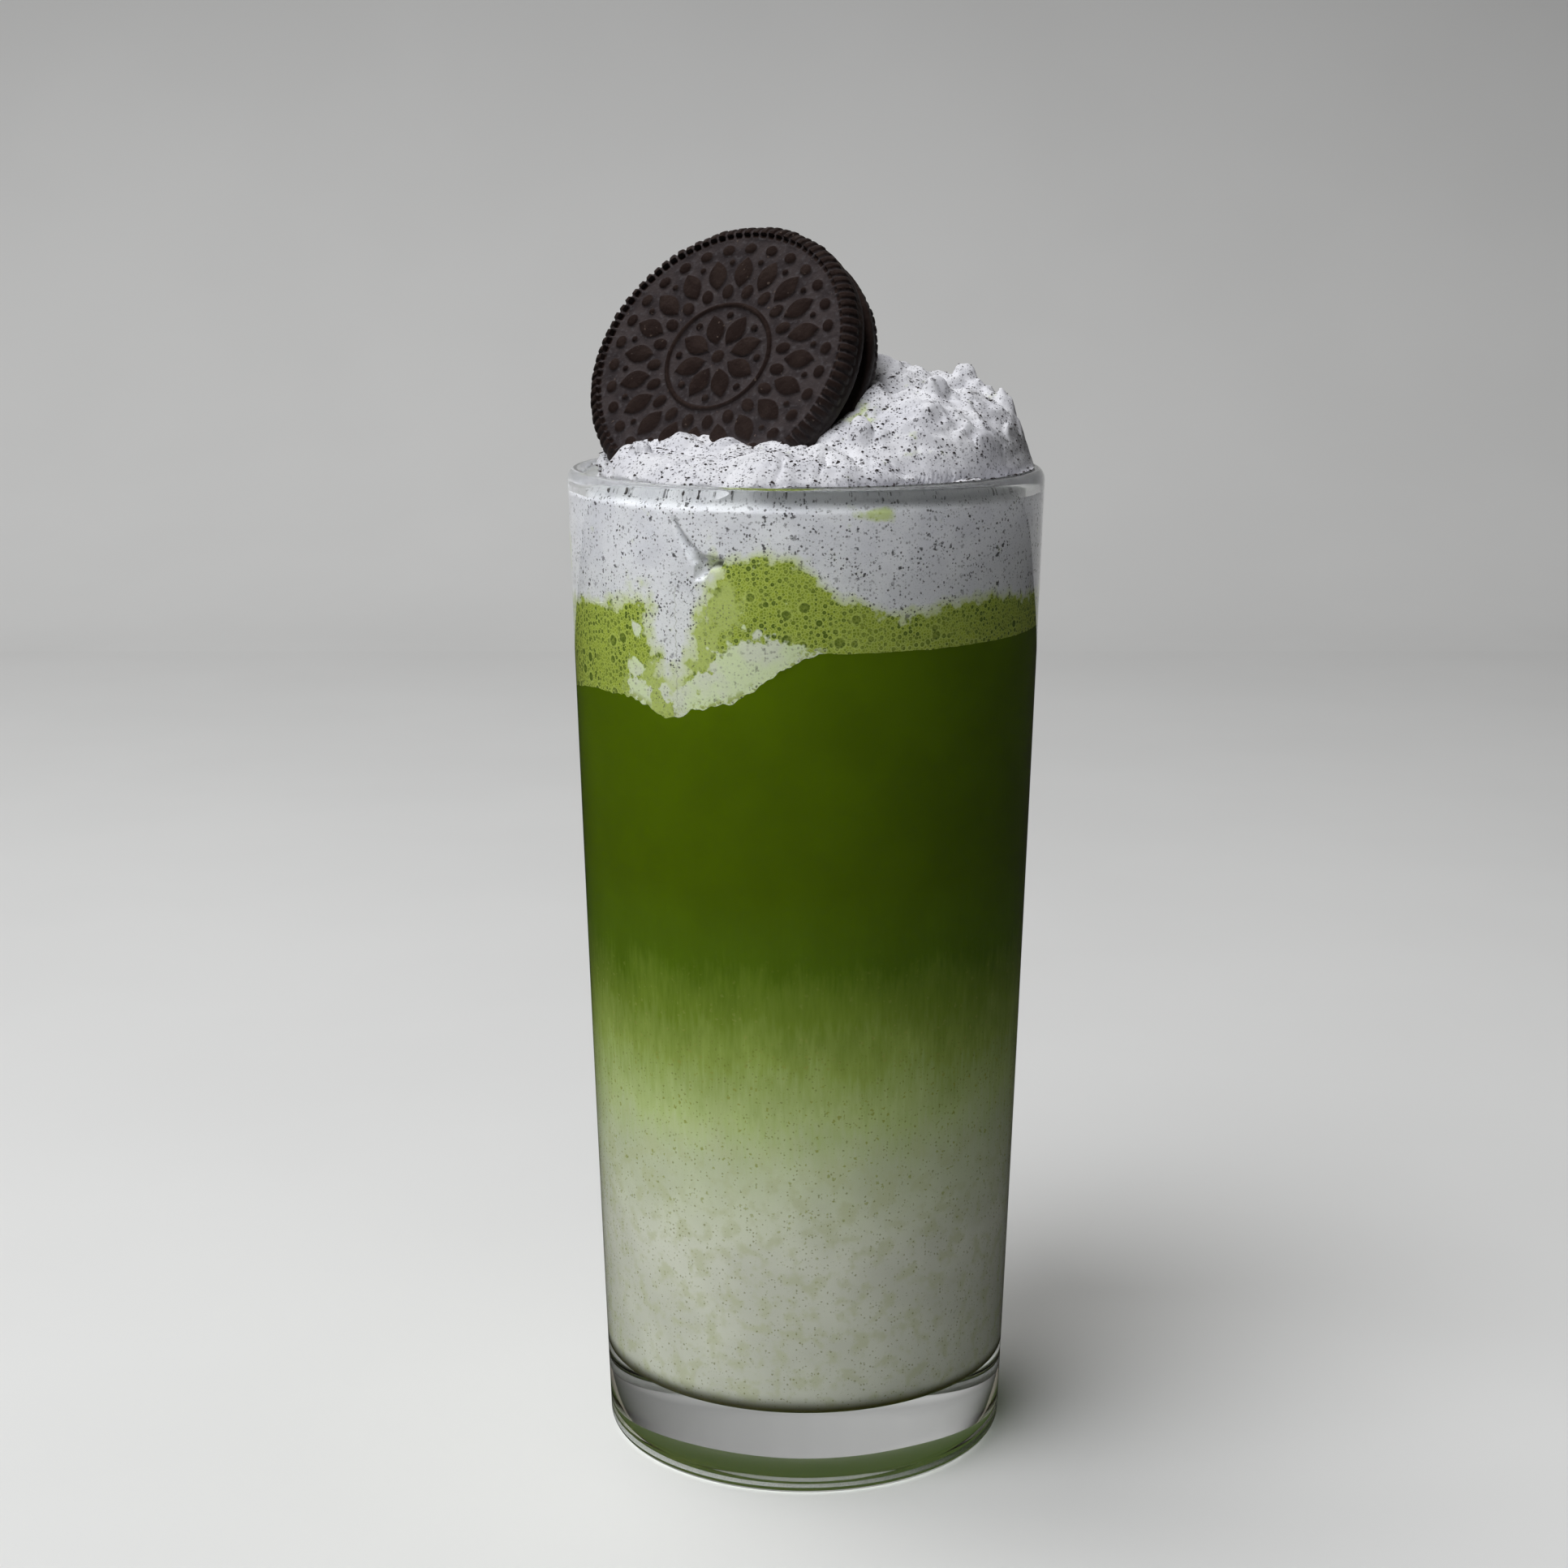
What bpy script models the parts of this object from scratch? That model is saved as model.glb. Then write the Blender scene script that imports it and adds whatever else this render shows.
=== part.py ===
"""Iced matcha latte in its tall glass: milk, matcha and foam in layers, speckled whipped
cream heaped above the rim, and a chocolate sandwich cookie standing in the cream.

Origin on the glass's axis, at the table. +Z up, -Y towards the viewer, metres.
"""

import math

import bmesh
import bpy
from mathutils import Vector, noise

# The glass
GLASS_HEIGHT = 0.1485
RIM_RADIUS = 0.0350
BASE_RADIUS = 0.0303
WALL_BULGE = 0.00067
WALL = 0.0024
FLOOR = 0.0120
FLOOR_CORNER = 0.0035
FOOT_CORNER = 0.0018
RIM_ROUND = 0.0017
FOOT_RING_INNER = 0.0235
PUNT = 0.0009
PUNT_SLOPE = 0.0015

# The layers, as heights above the table. Angles run from the front, positive to the right.
GAP = 0.0003
MILK_TOP = 0.0700
MATCHA_TOP = 0.1258
MATCHA_DIP = 0.0078
FOAM_TOP = 0.1306
FOAM_PEAK = 0.0079
TONGUE_ANGLE = -36.5
TONGUE_WIDTH = 7.5
TONGUE_DEPTH = 0.0150
FOAM_THINNEST = 0.0006
CREAM_LEVEL = 0.1473
CREAM_CONTACT = 0.1463
CREAM_FRONT_RISE = 0.0027
CREAM_LEFT_FALL = 0.0010
SIDE_SHOULDER = 0.1474
SHOULDER_SHARES = (0.7, 0.999)
CREAM_OVERHANG = 0.0330
OVERHANG_RISE = 0.0016

# The sandwich cookie
COOKIE_CENTRE = (-0.0108, 0.0010, 0.1622)
COOKIE_LEAN = 59.1
COOKIE_TURN = -31.6
COOKIE_RADIUS = 0.02215
WAFER = 0.00375
WAFER_GROUND = 0.00330
WAFER_SPACE = 0.0020
FILLING_RADIUS = 0.0203
RIB_END_RADIUS = 0.0219
RIB_END_HEIGHT = 0.00265
RIBS = 90
RIB_RISE = 0.0006
RIB_DEPTH = 0.00035
RIB_SINK = 0.7
FACE_RADIUS = 0.0192
RELIEF_ROOT = 0.0002

TURN_STEPS = 48
LAYER_RINGS = (0.30, 0.55, 0.75, 0.90, 1.0)
CREAM_RINGS = (0.16, 0.32, 0.46, 0.58, 0.69, 0.79, 0.87, 0.93, 0.97, 1.0)
EDGE_ANGLE = math.radians(35)


def remove_everything():
    for obj in list(bpy.data.objects):
        bpy.data.objects.remove(obj, do_unlink=True)


def new_collection(name):
    group = bpy.data.collections.new(name)
    bpy.context.scene.collection.children.link(group)
    return group


def put_in(obj, group):
    for old in list(obj.users_collection):
        old.objects.unlink(obj)
    group.objects.link(obj)
    return obj


def finish(name, colour, roughness, alpha=1.0):
    material = bpy.data.materials.new(name)
    material.use_nodes = True
    shader = material.node_tree.nodes["Principled BSDF"]
    shader.inputs["Base Color"].default_value = (*colour, 1.0)
    shader.inputs["Roughness"].default_value = roughness
    shader.inputs["Metallic"].default_value = 0.0
    shader.inputs["Alpha"].default_value = alpha
    return material


def settle(obj):
    """Applies the object's modifiers."""
    graph = bpy.context.evaluated_depsgraph_get()
    mesh = bpy.data.meshes.new_from_object(obj.evaluated_get(graph))
    obj.modifiers.clear()
    obj.data = mesh


def shade(obj):
    obj.data.shade_smooth()
    obj.data.set_sharp_from_angle(angle=EDGE_ANGLE)


def turned(name, profile, group, steps=TURN_STEPS):
    """A solid of revolution from (radius, height) points that run down the outer side."""
    mesh = bpy.data.meshes.new(name)
    edges = [(i, i + 1) for i in range(len(profile) - 1)]
    mesh.from_pydata([(r, 0.0, z) for r, z in profile], edges, [])
    obj = put_in(bpy.data.objects.new(name, mesh), group)
    screw = obj.modifiers.new("turn", "SCREW")
    screw.steps = steps
    screw.render_steps = steps
    screw.use_merge_vertices = True
    screw.merge_threshold = 1e-5
    return obj


def ease(start, end, value):
    """0 at start and 1 at end, with a smooth run between."""
    t = min(1.0, max(0.0, (value - start) / (end - start)))
    return t * t * (3.0 - 2.0 * t)


def hump(centre, width, value):
    return math.exp(-(((value - centre) / width) ** 2))


def arc(centre_r, centre_z, radius_r, radius_z, start, end, steps):
    """Points on an elliptical arc, angles in degrees from +radius towards +height."""
    points = []
    for i in range(steps + 1):
        a = math.radians(start + (end - start) * i / steps)
        points.append((centre_r + radius_r * math.cos(a), centre_z + radius_z * math.sin(a)))
    return points


def outer_radius(z):
    u = z / GLASS_HEIGHT
    return BASE_RADIUS + (RIM_RADIUS - BASE_RADIUS) * u + WALL_BULGE * u * (1.0 - u)


def inner_radius(z):
    return outer_radius(z) - WALL


# The glass


def glass_profile():
    corner_z = FLOOR + FLOOR_CORNER
    corner_r = inner_radius(corner_z) - FLOOR_CORNER
    shoulder = GLASS_HEIGHT - RIM_ROUND
    heights = [corner_z + (shoulder - corner_z) * i / 5 for i in range(1, 5)]
    rim_middle = outer_radius(shoulder) - WALL / 2
    foot_r = outer_radius(FOOT_CORNER) - FOOT_CORNER

    profile = [(0.0, FLOOR)]
    profile += arc(corner_r, corner_z, FLOOR_CORNER, FLOOR_CORNER, -90, 0, 3)
    profile += [(inner_radius(z), z) for z in heights]
    profile += arc(rim_middle, shoulder, WALL / 2, RIM_ROUND, 180, 0, 5)
    profile += [(outer_radius(z), z) for z in reversed(heights)]
    profile += arc(foot_r, FOOT_CORNER, FOOT_CORNER, FOOT_CORNER, 0, -90, 3)
    profile += [(FOOT_RING_INNER, 0.0), (FOOT_RING_INNER - PUNT_SLOPE, PUNT), (0.0, PUNT)]
    return profile


def make_glass(group):
    glass = turned("glass", glass_profile(), group)
    glass.data.materials.append(finish("clear_glass", (0.86, 0.90, 0.88), 0.03, 0.35))
    return glass


# The surfaces between the layers. angle is in degrees from the front, reach runs from 0
# on the axis to 1 at the wall.


def inward(edge_height, middle_height, reach):
    """The wall's uneven line, calmer towards the axis."""
    return middle_height + (edge_height - middle_height) * ease(0.15, 1.0, reach)


def tongue(angle):
    """The cream's tongue that runs down the wall at the front left."""
    return hump(TONGUE_ANGLE, TONGUE_WIDTH, angle)


def matcha_surface(angle, reach):
    left = ease(4, -24, angle) * (1.0 - ease(-115, -165, angle))
    tip = 0.0022 * tongue(angle) + 0.0020 * ease(-62, -95, angle) * left
    return inward(MATCHA_TOP - MATCHA_DIP * left - tip, MATCHA_TOP - 0.002, reach)


def foam_surface(angle, reach):
    peak = FOAM_PEAK * ease(-26, -18, angle) * (1.0 - ease(-5, 15, angle))
    ripple = 0.0017 * hump(46, 15, angle) + 0.0014 * hump(-50, 4, angle)
    ripple += 0.0012 * math.sin(math.radians(3 * angle)) * ease(75, 110, abs(angle))
    edge = FOAM_TOP + peak + ripple - TONGUE_DEPTH * tongue(angle)
    height = inward(edge, FOAM_TOP + 0.001, reach)
    return max(height, matcha_surface(angle, reach) + GAP + FOAM_THINNEST)


def cream_edge(angle):
    """The height of the cream's edge: below the rim at the left, over it from the front on."""
    front = ease(-28, -2, angle) * (1.0 - ease(108, 165, angle))
    left = ease(-48, -85, angle) * (1.0 - ease(-120, -160, angle))
    return CREAM_CONTACT + CREAM_FRONT_RISE * front - CREAM_LEFT_FALL * left


def dome(x, y, centre, radius_x, radius_front, radius_back, height):
    """A round-shouldered mound, 0 outside its outline."""
    across = (x - centre[0]) / radius_x
    along = (y - centre[1]) / (radius_front if y < centre[1] else radius_back)
    return height * math.sqrt(max(0.0, 1.0 - across * across - along * along))


def lumps(x, y, size, seed):
    return noise.noise(Vector((x / size, y / size, seed)))


def cream_surface(angle, reach):
    radius = reach * (RIM_RADIUS - WALL)
    x = radius * math.sin(math.radians(angle))
    y = -radius * math.cos(math.radians(angle))
    heap = dome(x, y, (0.0132, 0.006), 0.0212, 0.0265, 0.0230, 0.0147)
    rest = dome(x, y, (-0.006, 0.009), 0.0270, 0.0200, 0.0215, 0.0105)
    bank = dome(x, y, (-0.008, -0.014), 0.0255, 0.0165, 0.0240, 0.0058)
    height = (heap**3 + rest**3 + bank**3) ** (1 / 3)
    body = 1.0 - reach**20
    rough = 0.0016 * lumps(x, y, 0.0085, 1.7) + 0.0010 * lumps(x, y, 0.0045, 7.3)
    base = CREAM_LEVEL + (cream_edge(angle) - CREAM_LEVEL) * reach**8
    return base + (height + rough) * body


def cream_side(z, angle):
    if z <= SIDE_SHOULDER:
        return inner_radius(z) - GAP
    over = (z - SIDE_SHOULDER) / OVERHANG_RISE
    start = inner_radius(SIDE_SHOULDER) - GAP
    return start + (CREAM_OVERHANG - start) * min(1.0, over)


def wall_side(z, angle):
    return inner_radius(z) - GAP


# The layers


def split_alike(mesh):
    """Splits each sloping quad along the same diagonal, so that facing layers keep their gap."""
    bm = bmesh.new()
    bm.from_mesh(mesh)
    for face in [f for f in bm.faces if len(f.verts) == 4]:
        middle = face.calc_center_median()
        across = Vector((-middle.y, middle.x, 0.0)).normalized()
        outward = Vector((middle.x, middle.y, 0.0)).normalized()

        def diagonal(vert):
            away = vert.co - middle
            return away.dot(across) + away.dot(outward)

        corners = sorted(face.verts, key=diagonal)
        if abs(face.normal.z) > 0.5:
            bmesh.utils.face_split(face, corners[0], corners[-1])
    bm.to_mesh(mesh)
    bm.free()


def layer(name, bottom, top, side, top_rings, shares, group):
    """A plug turned at unit size, then shaped between two surfaces inside the wall."""
    profile = [(0.0, 1.0)]
    profile += [(ring, 1.0) for ring in top_rings]
    profile += [(1.0, share) for share in shares]
    profile += [(ring, 0.0) for ring in reversed(LAYER_RINGS)]
    profile += [(0.0, 0.0)]
    plug = turned(name, profile, group)
    settle(plug)
    split_alike(plug.data)
    for vert in plug.data.vertices:
        reach = math.hypot(vert.co.x, vert.co.y)
        turn = math.atan2(vert.co.x, -vert.co.y)
        angle = math.degrees(turn)
        low = bottom(angle, reach)
        high = top(angle, reach)
        share = vert.co.z
        z = low + (high - low) * share
        if SHOULDER_SHARES[0] < share < SHOULDER_SHARES[1]:
            z = min(z, SIDE_SHOULDER)
        radius = reach * side(z, angle)
        vert.co = (radius * math.sin(turn), -radius * math.cos(turn), z)
    return plug


def milk_profile():
    corner_z = FLOOR + FLOOR_CORNER
    corner_r = inner_radius(corner_z) - FLOOR_CORNER
    top = MILK_TOP - GAP / 2
    round_radius = FLOOR_CORNER - GAP
    profile = [(0.0, top), (wall_side(top, 0), top)]
    profile += [(wall_side(z, 0), z) for z in (0.052, 0.034)]
    profile += arc(corner_r, corner_z, round_radius, round_radius, 0, -90, 3)
    profile += [(0.0, FLOOR + GAP)]
    return profile


def make_milk(group):
    milk = turned("milk", milk_profile(), group)
    milk.data.materials.append(finish("milk", (0.62, 0.64, 0.50), 0.35))
    return milk


def make_matcha(group):
    matcha = layer(
        "matcha",
        lambda angle, reach: MILK_TOP + GAP / 2,
        matcha_surface,
        wall_side,
        LAYER_RINGS,
        (0.66, 0.33),
        group,
    )
    matcha.data.materials.append(finish("matcha", (0.075, 0.125, 0.004), 0.3))
    return matcha


def make_foam(group):
    foam = layer(
        "foam",
        lambda angle, reach: matcha_surface(angle, reach) + GAP,
        foam_surface,
        wall_side,
        LAYER_RINGS,
        (0.5,),
        group,
    )
    foam.data.materials.append(finish("matcha_foam", (0.28, 0.36, 0.04), 0.5))
    return foam


# The whipped cream

# Curls that stand out of the heap: x, y, radius
CURLS = (
    (0.0236, 0.0060, 0.0017),
    (0.0295, 0.0010, 0.0015),
    (0.0185, -0.0070, 0.0020),
    (0.0075, -0.0170, 0.0018),
    (-0.0235, -0.0150, 0.0017),
    (0.0020, 0.0235, 0.0021),
)
CURL_SUNK = 0.2


def make_curls():
    group = new_collection("curls")
    for x, y, radius in CURLS:
        angle = math.degrees(math.atan2(x, -y))
        reach = math.hypot(x, y) / (RIM_RADIUS - WALL)
        z = cream_surface(angle, reach) - CURL_SUNK * radius
        bpy.ops.mesh.primitive_uv_sphere_add(
            segments=8, ring_count=6, radius=radius, location=(x, y, z)
        )
        curl = put_in(bpy.context.object, group)
        curl.rotation_euler = (0.4, 60 * x, 90 * y)
        curl.scale = (1.25, 0.9, 1.0)
    return group


def fuse(obj, group):
    """Joins the group's pieces to the object and removes them."""
    union = obj.modifiers.new("fuse", "BOOLEAN")
    union.operation = "UNION"
    union.operand_type = "COLLECTION"
    union.collection = group
    union.solver = "EXACT"
    settle(obj)
    for piece in list(group.objects):
        bpy.data.objects.remove(piece, do_unlink=True)
    bpy.data.collections.remove(group)


def make_cream(group, slot):
    cream = layer(
        "cream",
        lambda angle, reach: foam_surface(angle, reach) + GAP,
        cream_surface,
        cream_side,
        CREAM_RINGS,
        (0.84, 0.45),
        group,
    )
    fuse(cream, make_curls())
    cut = cream.modifiers.new("cookie_slot", "BOOLEAN")
    cut.operation = "DIFFERENCE"
    cut.object = slot
    cut.solver = "EXACT"
    cream.data.materials.append(finish("cookies_and_cream", (0.60, 0.59, 0.60), 0.5))
    return cream


# The cookie. Its own +Z is the axis of the shown face.


def place_cookie(group):
    pose = put_in(bpy.data.objects.new("cookie_pose", None), group)
    pose.location = COOKIE_CENTRE
    pose.rotation_euler = (math.radians(COOKIE_LEAN), 0.0, math.radians(COOKIE_TURN))
    return pose


def cookie_thickness():
    return 2 * WAFER + WAFER_SPACE


def make_slot(pose, cutters):
    radius = (COOKIE_RADIUS + GAP) / math.cos(math.pi / TURN_STEPS)
    bpy.ops.mesh.primitive_cylinder_add(
        vertices=TURN_STEPS, radius=radius, depth=cookie_thickness() + 2 * GAP
    )
    slot = put_in(bpy.context.object, cutters)
    slot.name = "cookie_slot_cutter"
    slot.parent = pose
    slot.hide_render = True
    slot.display_type = "WIRE"
    return slot


def crimp(mesh):
    """Cuts the ridged edge: every second column of the edge band sinks in."""
    for vert in mesh.vertices:
        radius = math.hypot(vert.co.x, vert.co.y)
        on_band = radius > FACE_RADIUS + RIB_RISE / 2 and vert.co.z > RIB_END_HEIGHT / 2
        column = round(math.atan2(vert.co.y, vert.co.x) * RIBS / math.pi)
        if on_band and column % 2:
            shrink = 1.0 - RIB_DEPTH / radius if vert.co.z < WAFER_GROUND else 1.0
            vert.co.x *= shrink
            vert.co.y *= shrink
            vert.co.z -= RIB_DEPTH * RIB_SINK


def wafer_profile():
    return [
        (0.0, WAFER_GROUND),
        (FACE_RADIUS, WAFER_GROUND),
        (FACE_RADIUS + RIB_RISE, WAFER),
        (RIB_END_RADIUS, RIB_END_HEIGHT),
        (COOKIE_RADIUS, 0.0),
        (0.0, 0.0),
    ]


# The rings of raised motifs on a wafer's face: how many, ring radius, length outwards,
# width, sides, share of a step turned
MOTIF_RINGS = (
    (30, 0.0177, 0.0018, 0.0021, 4, 0.0),
    (20, 0.0138, 0.0052, 0.0031, 4, 0.0),
    (20, 0.0107, 0.0025, 0.0019, 4, 0.5),
    (8, 0.0046, 0.0052, 0.0031, 4, 0.5),
    (1, 0.0, 0.0022, 0.0022, 6, 0.0),
)
INNER_RING = 0.0084
INNER_RING_WIDTH = 0.0008


def raise_motifs():
    group = new_collection("motifs")
    tall = WAFER - WAFER_GROUND + RELIEF_ROOT
    for count, ring, length, width, sides, shift in MOTIF_RINGS:
        for i in range(count):
            angle = math.tau * (i + shift) / count
            bpy.ops.mesh.primitive_cone_add(vertices=sides, radius1=0.5, radius2=0.32, depth=1.0)
            motif = put_in(bpy.context.object, group)
            motif.scale = (width, length, tall)
            motif.rotation_euler = (0.0, 0.0, angle)
            motif.location = (
                -ring * math.sin(angle),
                ring * math.cos(angle),
                WAFER_GROUND - RELIEF_ROOT + tall / 2,
            )
    bpy.ops.mesh.primitive_torus_add(
        major_segments=24,
        minor_segments=4,
        major_radius=INNER_RING,
        minor_radius=INNER_RING_WIDTH / 2,
        location=(0.0, 0.0, WAFER_GROUND),
    )
    put_in(bpy.context.object, group)
    return group


def make_wafer(group, pose):
    wafer = turned("wafer_front", wafer_profile(), group, 2 * RIBS)
    settle(wafer)
    crimp(wafer.data)
    fuse(wafer, raise_motifs())
    wafer.data.materials.append(finish("chocolate_wafer", (0.022, 0.014, 0.012), 0.65))
    shade(wafer)
    wafer.parent = pose
    wafer.location = (0.0, 0.0, WAFER_SPACE / 2)

    back = put_in(bpy.data.objects.new("wafer_back", wafer.data), group)
    back.parent = pose
    back.location = (0.0, 0.0, -WAFER_SPACE / 2)
    back.rotation_euler = (math.pi, 0.0, math.radians(23))


def make_filling(group, pose):
    bpy.ops.mesh.primitive_cylinder_add(
        vertices=TURN_STEPS, radius=FILLING_RADIUS, depth=WAFER_SPACE - 2 * GAP
    )
    filling = put_in(bpy.context.object, group)
    filling.name = "filling"
    filling.parent = pose
    filling.data.materials.append(finish("filling", (0.62, 0.58, 0.52), 0.6))
    shade(filling)


def build():
    remove_everything()
    drink = new_collection("iced_matcha_latte")
    cutters = new_collection("cutters")
    glass = make_glass(drink)
    milk = make_milk(drink)
    matcha = make_matcha(drink)
    foam = make_foam(drink)
    pose = place_cookie(drink)
    cream = make_cream(drink, make_slot(pose, cutters))
    make_wafer(drink, pose)
    make_filling(drink, pose)
    for obj in (glass, milk, matcha, foam, cream):
        shade(obj)


build()
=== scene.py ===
import math
import random

import bmesh
import bpy
import numpy as np
from mathutils import Euler, Matrix, Vector, noise


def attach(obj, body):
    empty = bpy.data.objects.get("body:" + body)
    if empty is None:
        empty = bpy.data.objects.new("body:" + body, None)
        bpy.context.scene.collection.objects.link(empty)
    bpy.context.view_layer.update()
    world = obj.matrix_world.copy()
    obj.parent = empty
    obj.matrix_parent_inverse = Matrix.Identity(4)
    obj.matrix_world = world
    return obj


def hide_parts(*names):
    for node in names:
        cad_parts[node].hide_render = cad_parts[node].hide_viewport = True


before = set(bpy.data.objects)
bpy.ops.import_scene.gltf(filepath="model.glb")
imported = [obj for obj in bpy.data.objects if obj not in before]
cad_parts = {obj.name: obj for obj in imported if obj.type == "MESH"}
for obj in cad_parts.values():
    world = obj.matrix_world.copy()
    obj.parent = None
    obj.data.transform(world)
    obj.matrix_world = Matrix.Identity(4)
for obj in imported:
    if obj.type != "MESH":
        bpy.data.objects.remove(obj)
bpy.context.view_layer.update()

# Camera and room

cameraPlace = {
    "right": -0.00321,  # from the glass's axis
    "back": -0.3979,
    "height": 0.1851,
    "pitch": 11.97,  # degrees down
    "lens": 62.08,
    "sensor": 36.0,
}

# turn is in degrees from the front, below zero towards the left
roomLamps = {
    "windowLight": {
        "turn": -44.0, "rise": 60.0, "distance": 1.1, "size": 0.70, "power": 10.3,
        "colour": (0.975, 0.985, 1.0), "target": (0.0, 0.0, 0.09),
    },
    "wallLight": {
        "turn": -35.0, "rise": 68.0, "distance": 1.3, "size": 0.9, "power": 13.5,
        "colour": (1.0, 1.0, 1.0), "target": (-0.2, 0.75, 0.6),
    },
}

roomGlow = {
    "colour": (1.0, 0.90, 0.78),
    "fill": 0.016,
    "throughGlass": 0.30,
    "seen": 0.45,
}


def makeCamera():
    place = cameraPlace
    data = bpy.data.cameras.new("photoCamera")
    data.lens = place["lens"]
    data.sensor_width = place["sensor"]
    data.clip_start = 0.01
    camera = bpy.data.objects.new("photoCamera", data)
    camera.location = (place["right"], place["back"], place["height"])
    camera.rotation_euler = (math.radians(90.0 - place["pitch"]), 0.0, 0.0)
    bpy.context.scene.collection.objects.link(camera)
    bpy.context.scene.camera = camera


def makeLamp(name, lamp):
    data = bpy.data.lights.new(name, "AREA")
    data.shape = "DISK"
    data.size = lamp["size"]
    data.energy = lamp["power"]
    data.color = lamp["colour"]
    turn, rise = math.radians(lamp["turn"]), math.radians(lamp["rise"])
    away = Vector((math.sin(turn) * math.cos(rise), -math.cos(turn) * math.cos(rise),
                   math.sin(rise)))
    obj = bpy.data.objects.new(name, data)
    obj.location = Vector(lamp["target"]) + lamp["distance"] * away
    obj.rotation_euler = (-away).to_track_quat("-Z", "Y").to_euler()
    obj.visible_glossy = False  # no bright disc on the glass
    bpy.context.scene.collection.objects.link(obj)


def makeLights():
    for name, lamp in roomLamps.items():
        makeLamp(name, lamp)
    world = bpy.data.worlds.new("softRoom")
    bpy.context.scene.world = world
    world.use_nodes = True
    tree = world.node_tree
    back = tree.nodes["Background"]
    back.inputs["Color"].default_value = (*roomGlow["colour"], 1.0)
    # the room looks pale, also through the clear base, but gives little light
    path = put(tree, "ShaderNodeLightPath").outputs
    clear = mathNode(tree, "GREATER_THAN", path["Is Transmission Ray"], path["Diffuse Depth"])
    strength = addScaled(tree, clear, roomGlow["throughGlass"], roomGlow["fill"])
    strength = addScaled(tree, path["Is Camera Ray"], roomGlow["seen"], strength)
    tree.links.new(strength, back.inputs["Strength"])
    bpy.context.scene.view_settings.view_transform = "Standard"


# Small helpers for meshes and nodes

wallRadius = 32.5  # mm, of the glass near the top, to turn degrees into lengths


def ease(start, end, value):
    t = np.clip((value - start) / (end - start), 0.0, 1.0)
    return t * t * (3.0 - 2.0 * t)


def hump(centre, width, value):
    return np.exp(-(((value - centre) / width) ** 2))


def arc(centreR, centreZ, radiusR, radiusZ, start, end, steps):
    a = np.radians(np.linspace(start, end, steps + 1))
    return list(zip(centreR + radiusR * np.cos(a), centreZ + radiusZ * np.sin(a)))


def perlin(points, size, seed=0.0):
    # one value for each row of points, about -1 to 1
    shift = np.array([seed * 13.7, seed * 7.1, seed * 3.3])
    scaled = (points / size + shift).tolist()
    return np.array([noise.noise(p) for p in scaled])


def meshFrom(name, verts, faces, sharpAngle=62.0):
    mesh = bpy.data.meshes.new(name)
    mesh.from_pydata(verts, [], faces)
    mesh.shade_smooth()
    mesh.set_sharp_from_angle(angle=math.radians(sharpAngle))
    obj = bpy.data.objects.new(name, mesh)
    bpy.context.scene.collection.objects.link(obj)
    return obj


def meshSpots(mesh):
    spots = np.zeros(len(mesh.vertices) * 3, dtype=np.float32)
    mesh.vertices.foreach_get("co", spots)
    return spots.reshape(-1, 3).astype(float)


def ringMesh(name, rows, startPole, endPole):
    # rows run from the top pole out and down to the bottom pole, columns anticlockwise
    rowCount, columnCount = rows.shape[:2]
    verts = np.concatenate([rows.reshape(-1, 3), [startPole], [endPole]])
    here = np.arange(rowCount * columnCount).reshape(rowCount, columnCount)
    beside = np.roll(here, -1, axis=1)
    quads = np.stack([here[:-1], here[1:], beside[1:], beside[:-1]], axis=-1).reshape(-1, 4)
    top = np.stack([np.full(columnCount, len(verts) - 2), here[0], beside[0]], axis=-1)
    low = np.stack([here[-1], np.full(columnCount, len(verts) - 1), beside[-1]], axis=-1)
    return meshFrom(name, verts.tolist(), quads.tolist() + top.tolist() + low.tolist())


def turnedMesh(name, profile, columns):
    # a solid of revolution; the first and last points of the profile are on the axis
    rz = np.array(profile[1:-1])
    turn = np.linspace(0.0, math.tau, columns, endpoint=False)
    rows = np.zeros((len(rz), columns, 3))
    rows[..., 0] = rz[:, :1] * np.cos(turn)
    rows[..., 1] = rz[:, :1] * np.sin(turn)
    rows[..., 2] = rz[:, 1:]
    return ringMesh(name, rows, (0, 0, profile[0][1]), (0, 0, profile[-1][1]))


def addAttribute(obj, name, values):
    made = obj.data.attributes.new(name, "FLOAT", "POINT")
    made.data.foreach_set("value", np.asarray(values, dtype=np.float32))


def newMaterial(name):
    material = bpy.data.materials.new(name)
    material.use_nodes = True
    tree = material.node_tree
    return material, tree, tree.nodes["Principled BSDF"]


def feed(tree, socket, value):
    if isinstance(value, bpy.types.NodeSocket):
        tree.links.new(value, socket)
    else:
        socket.default_value = value


def put(tree, kind, inputs=None, **settings):
    node = tree.nodes.new(kind)
    for key, value in settings.items():
        setattr(node, key, value)
    for key, value in (inputs or {}).items():
        feed(tree, node.inputs[key], value)
    return node


def mathNode(tree, operation, *values):
    return put(tree, "ShaderNodeMath", dict(enumerate(values)), operation=operation).outputs[0]


def product(tree, value, *others):
    for other in others:
        value = mathNode(tree, "MULTIPLY", value, other)
    return value


def addScaled(tree, value, scale, rest):
    return mathNode(tree, "MULTIPLY_ADD", value, scale, rest)


def mixColour(tree, amount, a, b, blend="MIX"):
    node = put(tree, "ShaderNodeMix", data_type="RGBA", blend_type=blend)
    sockets = {socket.identifier: socket for socket in node.inputs}
    feed(tree, sockets["Factor_Float"], amount)
    for key, colour in (("A_Color", a), ("B_Color", b)):
        feed(tree, sockets[key], (*colour, 1.0) if isinstance(colour, tuple) else colour)
    return next(socket for socket in node.outputs if socket.identifier == "Result_Color")


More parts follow.
